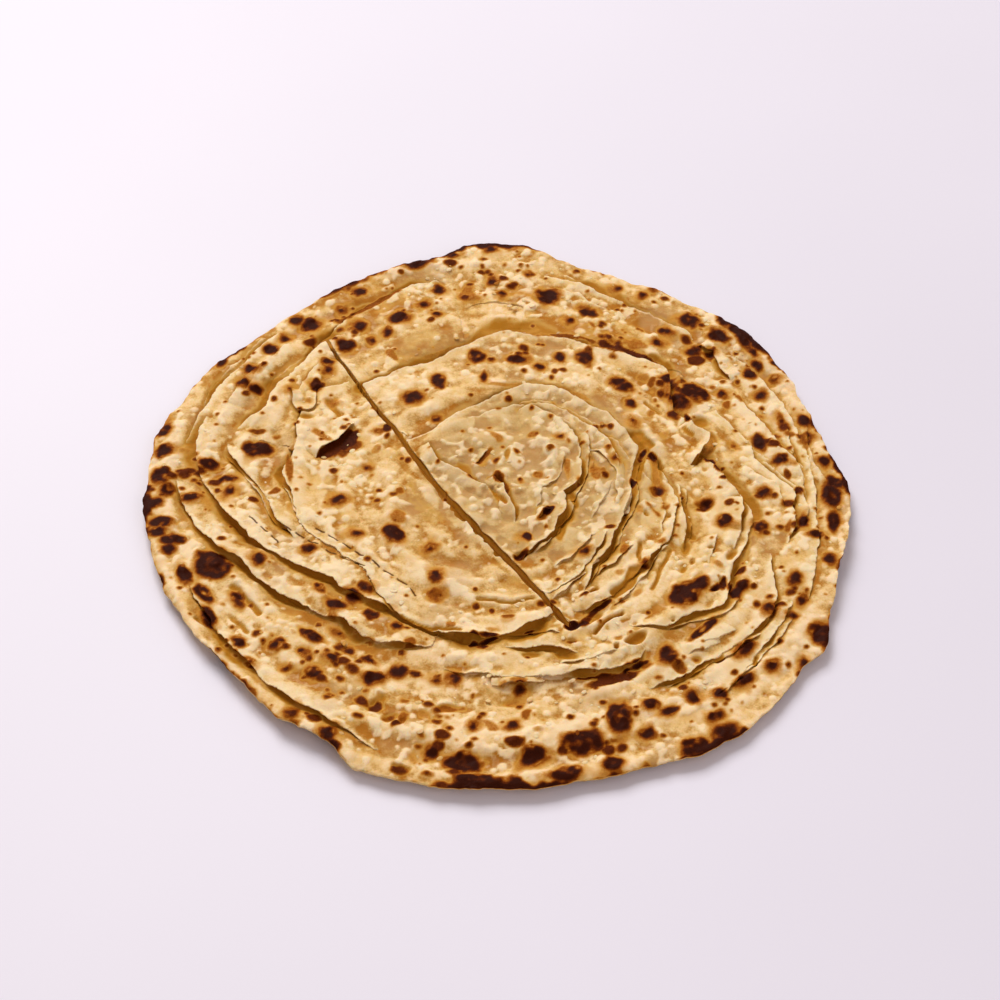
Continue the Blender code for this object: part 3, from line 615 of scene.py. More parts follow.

# %% [markdown]
# ## Pits and slits
# Where a bubble has sunk in or a fold has closed over itself there is a small pit, and where a leaf
# has cracked there is a narrow slit. Both are pressed into all sheets alike, so that no sheet
# comes through another. A few folds have closed so tightly that only a row of shaded dashes
# shows. Those are too thin for the mesh, so a map keeps the distance to them and the material
# draws them as dashes of painted shade.

# %% Pits and slits
# x, y, half length, half width, turn in degrees, depth
PITS = ((37.3, -57.8, 2.9, 1.7, 35, 1.7), (38.6, -65.6, 2.4, 1.8, 20, 1.1), (33.5, -69.6, 4, 1.4, 5, 0.9),
    (52.5, -23.4, 2.8, 1.4, 80, 1.1), (51.5, -32, 2.2, 1.3, 70, 0.9), (59.5, -24.6, 1.1, 0.7, 0, 1),
    (65.3, -27.2, 2.3, 1.4, 60, 1), (32, -60.6, 1.3, 0.9, 90, 1.4), (54, -29.4, 1.2, 0.7, 80, 1),
    (58.7, -8.2, 2.5, 1.9, 30, 1.4), (60.1, 25.6, 2.4, 2, 0, 0.8), (54.3, -18.8, 2.1, 1.1, -50, 1.3),
    (47.4, 52.6, 2.3, 2.2, 0, 0.9), (-12.1, -80, 4.4, 1.6, 0, 1), (4.2, -78, 3.4, 1.8, 0, 0.8),
    (-31.2, -78.6, 3.4, 2.2, 60, 1.3), (-27.6, -83.4, 2.6, 1.6, 40, 0.9), (18.7, -63.4, 3, 1.4, -10, 1),
    (21.3, -52.8, 2.8, 1.6, 40, 1.8), (26.2, -49.4, 3.6, 1.9, 55, 1.3), (-56, 27.8, 2.6, 1.3, 0, 0.8),
    (0.6, 2.6, 2.6, 1.3, 115, 1.2), (-4.4, 9.6, 2, 1.3, 60, 0.8), (21.6, -5.6, 2.9, 1.1, 105, 1.1),
    (-9.2, 6.8, 3.2, 1.8, 130, 0.7), (9, -63, 2.6, 1.2, 0, 0.8), (-24.6, -84.6, 1.6, 1, 60, 0.8),
    (63.9, 56, 1.4, 2.4, 0, 1.1), (-4.2, -57.4, 2.2, 1, 10, 1.2), (53.2, -64.3, 1.6, 1.3, 0, 0.8),
    (48.8, -67.1, 1.5, 1.9, 20, 0.9), (3.1, 12.2, 3, 1, 80, 0.7), (18.2, -17.5, 5, 1.2, 84, 0.8),
    (-57.1, 35.6, 5, 2.4, 85, -0.9), (-51.2, 33, 5, 2.2, 85, -0.8), (-46, 25.6, 3, 1.8, 30, -0.6),
    (-2.6, 1.2, 4.2, 1.2, 130, -0.5), (74.4, 1.6, 2.4, 1.4, 80, -0.5), (79.6, 1.3, 2.2, 1.3, 85, -0.6))
# width, depth and points (x, y)
SLITS = ((1.1, 0.9, ((-49.6, 36), (-49.1, 32.7), (-47.3, 29.9), (-45.4, 27.8))),
    (0.8, 0.9,
     ((-7.6, 3.1), (-5.7, 1.5), (-2.9, -0.6), (-0.6, -2.9), (1, -5.3), (2.2, -7.1), (3.4, -8.4))),
    (0.8, 1, ((54.6, 24), (54.9, 22), (56, 20), (57.1, 18.4))),
    (1.6, 1.2, ((39.6, 1.6), (40.6, 7.9), (41.8, 13), (43.2, 15.8))),
    (1, 1.2, ((43.4, 13), (46, 9.7), (47.9, 6.3))),
    (2, 0.8, ((44.9, 10.7), (45.8, 4.1), (45.6, -1.9), (46.4, -5))),
    (1.6, 0.9, ((38.4, 21.8), (40.7, 17.2), (42.4, 15))),
    (1.2, 0.8, ((40.7, 22.3), (43.5, 17.7), (45.5, 15))),
    (1.9, 1.2, ((31, -42.2), (34.5, -39.6), (36.4, -36.4), (37.3, -34), (38, -31.2))),
    (0.7, 1, ((39.9, -21.5), (39.9, -26), (39.7, -31))),
    (0.7, 0.8, ((42.4, -40.4), (44.8, -34), (46.6, -28.6), (48.6, -23.4))),
    (0.8, 0.9, ((25, -41.3), (28.2, -39))),
    (0.8, 0.9, ((26.4, -56.8), (28, -52.7), (30.3, -49.9), (34.8, -47.9))),
    (0.8, 1, ((66, -29.8), (65.2, -34), (64.5, -38.6))), (1.1, 1, ((62.6, -35), (62, -39))),
    (0.8, 0.9, ((58.2, -40.6), (60.4, -39))), (0.7, 0.8, ((46.8, -52.8), (48.6, -51.7))),
    (0.7, 0.8, ((50.4, -50.8), (52.2, -49.8))), (0.9, 0.9, ((57.6, -64.1), (60.9, -62))),
    (0.7, 0.9, ((67.8, -65.8), (70.2, -61.7))), (0.8, 0.8, ((18.8, -58.9), (21.8, -58.6))),
    (1.2, 0.8, ((-73.3, -36.7), (-69, -42.4), (-63.5, -48.7))),
    (0.9, 0.7, ((-72.6, -47.9), (-66.2, -54.9))),
    (0.8, 1, ((-82.2, -48.4), (-78.2, -51.4), (-74.5, -55.4))),
    (0.8, 0.9, ((-27.5, -98), (-21.3, -100.2))),
    (0.7, 0.7, ((-6.4, -42.9), (-1, -44), (5, -44), (10.8, -42.7))),
    (0.8, 0.9, ((-26.8, -48.9), (-21.9, -52.4), (-17.3, -54), (-12.1, -54.3), (-8.6, -55))),
    (1, 1.2, ((5.2, -29), (6.2, -27.1), (8.1, -25.6))),
    (0.7, 0.9, ((43.1, 34.8), (46.1, 31.2), (48.7, 29))), (0.7, 0.8, ((41.5, -9.4), (43, -12.4))),
    (0.8, 0.9, ((48.5, -11), (48.2, -13.4))))
# Points (x, y) of the lines along which the dashes lie
DASHED_LINES = (
    ((-60.6, -14.8), (-57.7, -17.3), (-51.5, -21.8), (-46.1, -25.6), (-40.5, -28.8), (-35.6, -31.6)),
    ((-51.3, -16.2), (-46.2, -20), (-40.6, -24.1), (-34.6, -29), (-29.2, -34.2), (-24.5, -38.5),
     (-21.6, -42.2)), ((-70.1, -12.7), (-65.3, -16.5), (-60.2, -22.2)))
DASH_LENGTH = 3.4
DASH_GAP = 1.4
DASH_WIDTH = 0.55
DASH_DEPTH = 0.28
LINE_VIEW = 3.0
PIT_SIDE = 1.30
SLIT_SIDE = 1.25
SLIT_FADE = 1.5


def ellipse_ring(view, x, y, long_way, short_way, turn):
    """1 on an ellipse, less inside it and more outside it."""
    a = math.radians(turn)
    dx, dy = map_x[view] - x, map_y[view] - y
    return np.hypot((dx * math.cos(a) + dy * math.sin(a)) / long_way,
                    (dy * math.cos(a) - dx * math.sin(a)) / short_way)


rough_spots = rough(0.9, 23)
before = pressed.copy()
for x, y, long_way, short_way, turn, depth in PITS:
    view = window_round(((x, y),), long_way + 4.0)
    ring = ellipse_ring(view, x, y, long_way, short_way, turn)
    pressed[view] += depth * (1.0 - ease((ring + 0.10 * rough_spots[view] - 0.15) / PIT_SIDE))
for number, (width, depth, points) in enumerate(SLITS):
    view = window_round(points, 4.0)
    beyond, ends = line_fields(points, view, 700 + 2 * number)
    pressed[view] += depth * ease(SLIT_SIDE - np.abs(beyond) / width) * ease(ends / SLIT_FADE)
crease_side = np.full_like(dome, LINE_VIEW)
dash_mask = np.zeros_like(dome)
for number, points in enumerate(DASHED_LINES):
    view = window_round(points, LINE_VIEW)
    beyond, ends = line_fields(points, view, 840 + 2 * number)
    nearer = (np.abs(beyond) < np.abs(crease_side[view])) & (ends > -0.5)
    crease_side[view] = np.where(nearer, beyond, crease_side[view])
    cycle = DASH_LENGTH + DASH_GAP
    from_middle = np.abs((ends / cycle) % 1.0 - 0.5) * cycle
    mask = ease(DASH_LENGTH - 2.0 * from_middle + 0.5) * ease(ends) * (np.abs(beyond) < 1.4)
    dash_mask[view] = np.maximum(dash_mask[view], mask)
    pressed[view] += DASH_DEPTH * ease(SLIT_SIDE - np.abs(beyond) / DASH_WIDTH) * mask
sunk = pressed - before
print(len(PITS), "pits,", len(SLITS), "slits and", len(DASHED_LINES), "dashed lines")

# %% [markdown]
# The places in all tables were read in a view from 46 degrees above the table, as if each lay
# 5 mm high. A higher place looks further back in such a view, so each point is moved forward by as
# much as the dome rises over that height, and back where it is lower. The front rim, which was
# read at its own height, stays.

# %% Slide of the maps
READ_HEIGHT = 5.0
SLIDE_FOR_HEIGHT = 0.955

slide = SLIDE_FOR_HEIGHT * (blur(surface, 6.0) - READ_HEIGHT)
back_share = 0.5 + 0.5 * np.sin(np.radians(map_turn))
slide = np.where(slide > 0, slide * ease((1.0 - share) / 0.12), slide * back_share)
slide = blur(slide, 4.0)
print("points move by", round(float(slide[share < 1].min()), 1), "to", round(float(slide.max()), 1), "mm")

# %% [markdown]
# ## The outer wrap and the core
# The outermost dough is a ring that ends in the thin rim. It is made in two lengths, because the
# outline steps in where one length slips under the other. Below everything lies the core, a
# closed body with a flat base: it carries the leaves, fills the bottom of every hollow and stands
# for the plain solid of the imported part.

# %% Wrap and core maps
# name, first angle, last angle
WRAP_TURNS = (("wrap_front", 97.0, 252.0), ("wrap_back", 247.0, 461.0))
WRAP_REACH = 28.0
WRAP_LIP = 0.45
WRAP_LIP_WIDTH = 1.6
WRAP_END_DROP = 0.45
CORE_INSET = 2.6
CORE_DROP = 0.75

rim_inside = outline - map_r
wraps = []
for name, first, last in WRAP_TURNS:
    along = (map_turn - first) % 360.0
    ends = np.minimum(along, last - first - along) * np.radians(1.0) * map_r
    inside = np.minimum(np.minimum(rim_inside, ends), WRAP_REACH - rim_inside)
    top = dome - WRAP_LIP * np.clip(1.0 - rim_inside / WRAP_LIP_WIDTH, 0, 1) ** 2
    buried = BURIED * ease((BURIED_WIDTH - WRAP_REACH + rim_inside) / BURIED_WIDTH)
    top -= WRAP_END_DROP * (1.0 - ease(ends / END_FADE)) + buried
    low = every(STRIDE)
    wraps.append({
        "name": name, "window": WHOLE, "edge": rim_inside[low],
        "inside": np.minimum(inside, beside_cut)[low].copy(), "top": top[low].copy(),
        "pressed": np.zeros_like(top[low]),
    })
core_inside = np.minimum(rim_inside - CORE_INSET - 0.5 * rough(3.0, 31), beside_cut)
print("core reaches to within", CORE_INSET, "mm of the rim")

# %% [markdown]
# ## Small relief
# Hot dough is never smooth. Steam lifts low blisters all over it, the leaf wrinkles along its
# own length as it shrinks, and the whole face is lumpy at the size of a grain of rice. This
# relief is one map that every sheet shares, so that sheets never poke through each other.

# %% Relief map
# Lines along which the dough has puffed up: height, half width, points (x, y)
PUFFED = ((0.85, 1.5,
     ((7.5, 20.3), (10.8, 18.3), (14.3, 16.7), (15.7, 10.7), (15.2, 6.4), (11.5, 0.6), (12.3, -4.1),
      (13.1, -6.9))),
    (0.5, 1.2,
     ((-7.8, -94.6), (-5.2, -93.3), (-1.6, -93.3), (2, -92.7), (6.2, -90.4), (10.3, -87.4), (14.5, -86.1),
      (17.1, -85.5))))
CRUMPLED_PLACE = (14.0, 6.0)
CRUMPLED_RADIUS = 30.0
CRUMPLED_FADE = 10.0
WRINKLE_HEIGHT = 0.13
WAVE_HEIGHT = 0.36
BLISTERS = 2600
BLISTER_SIZES = (0.6, 1.7)
BLISTER_HEIGHT = 0.62
BLISTERS_WITHIN = 104.0
LUMP_HEIGHT = 0.28
LUMP_START = 0.80
LUMP_SLOPE = 1.30
LUMPS_BY_CROWD = 0.45
POCKET_DEPTH = 0.42
CUT_LIP = 0.22


def round_the_coil(field):
    """Bends a map round the circle, so that its long spots follow the leaves."""
    return read_map(field, map_r, (map_turn - 180.0) * (CELLS * PITCH / 360.0) * 0.999)


wrinkles = round_the_coil(rough(0.95, 41, 3.2))
waves = round_the_coil(rough(1.9, 46, 8.0))
relief = 0.12 * rough(1.5, 42) + 0.05 * rough(0.7, 43) + WRINKLE_HEIGHT * wrinkles
relief += WAVE_HEIGHT * waves
crowd = rough(4.5, 48)


def add_domes(field, count, seed, small, large, height):
    """Raises low round domes at random places of the map, more of them where it is crowded."""
    pick = np.random.default_rng(seed)
    radius = BLISTERS_WITHIN * np.sqrt(pick.random(count))
    turn = 2.0 * math.pi * pick.random(count)
    kept = pick.random(count) < 0.55 + 0.40 * read_map(crowd, radius * np.cos(turn), radius * np.sin(turn))
    radius, turn = radius[kept], turn[kept]
    count = len(radius)
    for r, a, size, tall in zip(radius, turn, pick.random(count), pick.random(count)):
        half = small + (large - small) * size ** 2
        col = int((r * math.cos(a)) / PITCH + 0.5 * CELLS)
        row = int((r * math.sin(a)) / PITCH + 0.5 * CELLS)
        span = int(half / PITCH) + 2
        view = (slice(row - span, row + span + 1), slice(col - span, col + span + 1))
        gap = np.hypot(map_x[view] - samples[col], map_y[view] - samples[row]) / half
        field[view] = np.maximum(field[view], height * (0.5 + 0.5 * tall) * np.clip(1 - gap ** 2, 0, 1))


blisters = np.zeros_like(relief)
add_domes(blisters, BLISTERS, 44, *BLISTER_SIZES, BLISTER_HEIGHT)
blisters = blur(blisters, 0.28)
from_crumpled = np.hypot(map_x - CRUMPLED_PLACE[0], map_y - CRUMPLED_PLACE[1])
crumpled = 1.0 - ease((from_crumpled - CRUMPLED_RADIUS) / CRUMPLED_FADE)
lump_noise = rough(0.80, 47) + 0.70 * rough(1.6, 50) + LUMPS_BY_CROWD * crowd
lumps = ease((lump_noise - LUMP_START) / LUMP_SLOPE)
blisters = np.maximum(blisters, LUMP_HEIGHT * lumps * (1.0 + 0.6 * crumpled))
relief += blisters
puff_noise = rough(0.8, 64)
puffs = np.zeros_like(dome)
for number, (tall, half_width, points) in enumerate(PUFFED):
    view = window_round(points, 6.0)
    beyond, ends = line_fields(points, view, 860 + 2 * number)
    bump = np.exp(-((beyond / half_width) ** 2)) * ease(ends / 3.0)
    bump = bump * np.clip(0.6 + 0.5 * puff_noise[view], 0.1, 1.4)
    puffs[view] = np.maximum(puffs[view], tall * bump)
relief += puffs
pockets = crumpled * np.clip(rough(1.3, 49, 1.9) - 0.55, 0, 1.5)
relief -= POCKET_DEPTH * pockets
relief += CUT_LIP * np.exp(-((beside_cut / 1.2) ** 2)) * (0.6 + 0.4 * rough(2.0, 45))
print("relief spread in mm:", round(float(relief[share < 1].std()), 3))

# %% [markdown]
# ## Where it is charred
# The griddle touches the highest places, and there the dough goes golden, brown and then black.
# The large spots are placed one by one, because they give this bread its face. Fine specks
# are scattered with a fixed seed, and thicken towards the rim. The map keeps how far inside a spot
# each place is, so that one map can drive the golden halo, the brown ring and the black core.

# %% Char spots
# angle, radius, half size across in X, half size in Y
SPOTS = ((168, 70.5, 4, 3.5), (174, 83, 3.5, 2), (178, 77, 3, 1.5), (151, 86.6, 2.2, 2.2),
    (147, 88.2, 2, 2), (151, 81.5, 1.7, 1.7), (140, 88.5, 2.2, 2.2), (136, 89.5, 2, 2),
    (129.5, 89.4, 3.2, 3.2), (131, 93.9, 2.5, 2.5), (122, 89.9, 2, 2), (117, 93.7, 2, 2),
    (122, 79, 2.5, 2.5), (128, 74, 2.8, 2.8), (122, 71.8, 1.5, 1.5), (117, 72.6, 1.5, 1.5),
    (113, 76.9, 3.3, 2.6), (106.5, 80.4, 2.3, 2.3), (102, 86.5, 2.3, 2.3), (104, 74.8, 1.4, 1.4),
    (91, 102.8, 2, 2), (91, 88.4, 2.2, 2.2), (89, 82.4, 1.8, 1.8), (79, 82.5, 4, 4), (84, 91.5, 1.5, 1.5),
    (69, 78.5, 3.2, 2.6), (72, 73.3, 1.7, 1.7), (66, 93.2, 1.2, 1.2), (61, 93.3, 1.7, 1.7),
    (60, 98, 1.5, 1.5), (51.5, 83.2, 1.5, 2.5), (51, 77.3, 1.8, 1.8), (50, 91.3, 3.3, 3.3),
    (43, 92, 3.2, 4), (44, 82.2, 2, 2), (41, 85.4, 1.5, 1.5), (45, 99, 2, 3), (42, 98, 2, 4),
    (39, 96.6, 2, 4), (36, 95, 1.6, 3.5), (33, 92.9, 1.3, 3), (32, 88.7, 2, 2), (28, 94.2, 1.5, 1.5),
    (83, 52.1, 3, 2), (75, 50.1, 1.8, 1.8), (70, 55.6, 1.8, 1.8), (63, 58.6, 2.5, 3), (48, 55.1, 2.5, 4),
    (40, 51.7, 1.8, 1.8), (33, 47.3, 1, 1.7), (40, 67, 2.5, 2.5), (33, 70.1, 5, 3.5), (32, 63, 3, 4),
    (30, 77.4, 1.5, 1.5), (26, 87, 1.8, 1.8), (18, 88, 1.5, 3), (17, 94, 2, 2.8), (12, 92.6, 2, 2),
    (13, 78.6, 2, 3), (7, 82, 1.8, 1.8), (13, 70.9, 1, 1), (6, 95.3, 1.8, 1.8), (1, 96.6, 3, 3),
    (358, 95, 3, 5), (352, 95.7, 1.7, 4), (351, 87.4, 1.8, 3.2), (348, 90.9, 2.5, 1.5), (343, 96.1, 2, 2),
    (358, 76.2, 2.5, 2.5), (348, 75.8, 2, 2.5), (347, 65.3, 2.5, 2.2), (353, 59.4, 2.3, 1.8),
    (337, 89.1, 2, 2.7), (333, 93.8, 1.8, 3.2), (329, 93.9, 1.9, 1.9), (328, 87.6, 2, 2),
    (328, 102.7, 3, 4), (322, 104.5, 1.8, 2.5), (321, 66.2, 5.2, 4.6), (325, 67.6, 3.2, 2.6),
    (316, 77.5, 1.5, 6), (318, 89.7, 2.5, 4), (313, 96.3, 1.5, 3.7), (318, 98.8, 1.8, 2.8),
    (308, 95.4, 2, 2), (304, 92.5, 1.8, 1.8), (305, 100.4, 2.5, 1.6), (306, 78.2, 2.3, 2.3),
    (329, 77.2, 2, 3.5), (297, 88.7, 2, 2), (299, 93.1, 3, 1.3), (291, 89.2, 3.3, 5.5),
    (284, 93.9, 5.5, 3.7), (276, 96.4, 3.8, 3), (280, 103, 5, 2.5), (287, 102.6, 3, 2.5),
    (299, 106.1, 4.5, 3), (304, 106.5, 4, 3), (294, 96.8, 2, 2), (273, 86.5, 1.8, 1.8),
    (275, 74.3, 1.4, 1.4), (265, 98.3, 5, 3), (267, 103.8, 6, 2), (266, 86.6, 1.5, 1.5),
    (260, 96.3, 1.7, 1.7), (244, 99.2, 2.5, 2.5), (237, 98.6, 2.2, 2.2), (261, 71.3, 2, 2),
    (257, 72.7, 1.5, 1.5), (249, 72.2, 2.2, 2.2), (245, 77.1, 3, 2.2), (242, 72.4, 2.5, 1.2),
    (237, 72, 1.8, 1.8), (232, 68.6, 1.8, 1.2), (235, 77.1, 2.5, 1.8), (235, 83.9, 2.2, 2.2),
    (230, 87, 1.5, 1.5), (230, 80.1, 2, 1.5), (228, 74.4, 3.5, 1.8), (225, 83.2, 2.3, 2.3),
    (225, 92.3, 2, 1.2), (220, 90.1, 3, 1.6), (212, 92.2, 4, 1.8), (211, 82.6, 3, 2.2),
    (207, 89.7, 1.8, 3.5), (201.5, 92.4, 1.8, 4), (201, 84, 5, 5.8), (195, 94.8, 2.5, 1.8),
    (193, 93.4, 3.5, 2), (188.5, 95.6, 4.4, 1.9), (183, 86.8, 3.5, 2), (182, 75.9, 1.7, 2.2),
    (187, 45.5, 2.3, 2.3), (214, 34.2, 4, 3), (206, 43.1, 2.7, 1.8), (244, 38.4, 1.8, 2.2),
    (248, 44.9, 2, 1.5), (232, 29.6, 2, 2), (228, 53.4, 2.3, 1.6), (227, 57.4, 2.5, 2.5),
    (226, 62.4, 3.2, 2), (243, 59.1, 1.3, 2), (236, 58.4, 2, 2), (218, 62.1, 2.5, 1.2),
    (203, 72, 2.2, 2.2), (205, 57.4, 2, 1.5), (135, 72.2, 1.8, 1.8), (137, 68.8, 1.8, 1.8),
    (143, 67.1, 1.8, 1.8), (148, 72.2, 1.5, 1.5), (145, 58.1, 1.5, 1.5), (147, 41, 1.2, 1.2),
    (169, 38, 1.1, 1.1), (125, 43.4, 3, 3.5), (112, 45.9, 2, 3), (96, 53.8, 2.5, 2.5), (95, 44.5, 1, 2),
    (123, 32.6, 1.5, 1.5), (293, 21.7, 1.2, 1.2), (46, 26.9, 1, 1), (16, 35.7, 1, 1),
    (24, 35.4, 0.9, 0.9), (313, 36.4, 1.2, 1.2), (323, 50.6, 1.9, 1.9), (357, 45.6, 2, 2),
    (97.6, 101, 3, 1.5), (104, 98.8, 4, 2), (148, 98, 1.5, 2.5), (167, 99.5, 2, 4), (172, 97, 3, 3),
    (178, 96.5, 2.5, 3.5), (184, 98, 2.4, 1.7), (191, 97, 2.6, 1.7), (181, 93.5, 2, 2))
# The same for spots that stay golden brown
BROWN_SPOTS = ((96, 82.9, 3, 3), (87, 104.4, 3, 3), (55, 72.3, 2.8, 2.8), (205, 30.7, 2.5, 2),
    (11, 28.7, 1.5, 3.5), (60, 70, 2, 1.5), (36, 63, 2.5, 2), (228, 66, 2, 1.2))
# Places where small spots crowd: angle, radius, spread, count
CROWDED = ((36, 64, 7, 14), (60, 71, 7, 12), (48, 90, 6, 8), (176, 88, 9, 16), (222, 86, 12, 16),
    (286, 95, 12, 22), (322, 98, 7, 8), (350, 86, 8, 8), (12, 84, 8, 9), (130, 86, 8, 10),
    (92, 88, 9, 12), (262, 98, 8, 10), (238, 76, 8, 12), (331, 86, 8, 8), (243, 84, 8, 12),
    (262, 88, 10, 14), (80, 54, 10, 6))
# Browned ellipses on the leaves below the flaps, and on all leaves:
# x, y, half length, half width, turn in degrees, how far charred
HOLLOW_STAINS = ((-44, 15.8, 4.8, 3.3, 36, 0.6), (-42.6, 18.6, 4.6, 1.9, 62, 0.8),
    (-47.4, 14.2, 4.4, 1.7, 38, 0.72), (-59.6, 7.5, 7.6, 1, 97, 0.46), (22, 62.6, 8, 0.8, -14, 0.56),
    (38.5, 56.6, 9.5, 1.4, -22, 0.7), (-12, 58.6, 12, 0.8, 26, 0.34), (-47, 17.5, 7.5, 1.6, 51, 0.74),
    (31, -70.2, 8, 1.7, 18, 0.68), (7, 41.2, 9.5, 0.7, 2, 0.34), (-38.9, 77.2, 11.5, 1.4, 38, 0.54),
    (22.4, 38, 6, 0.6, -32, 0.34), (4, 66, 9, 1.6, 2, 0.24), (-4, 11.2, 3.2, 0.9, 52, 0.6),
    (1.5, 0.6, 3.6, 1.4, 115, 0.6), (61.6, 15.6, 4, 1.6, 80, 0.34))
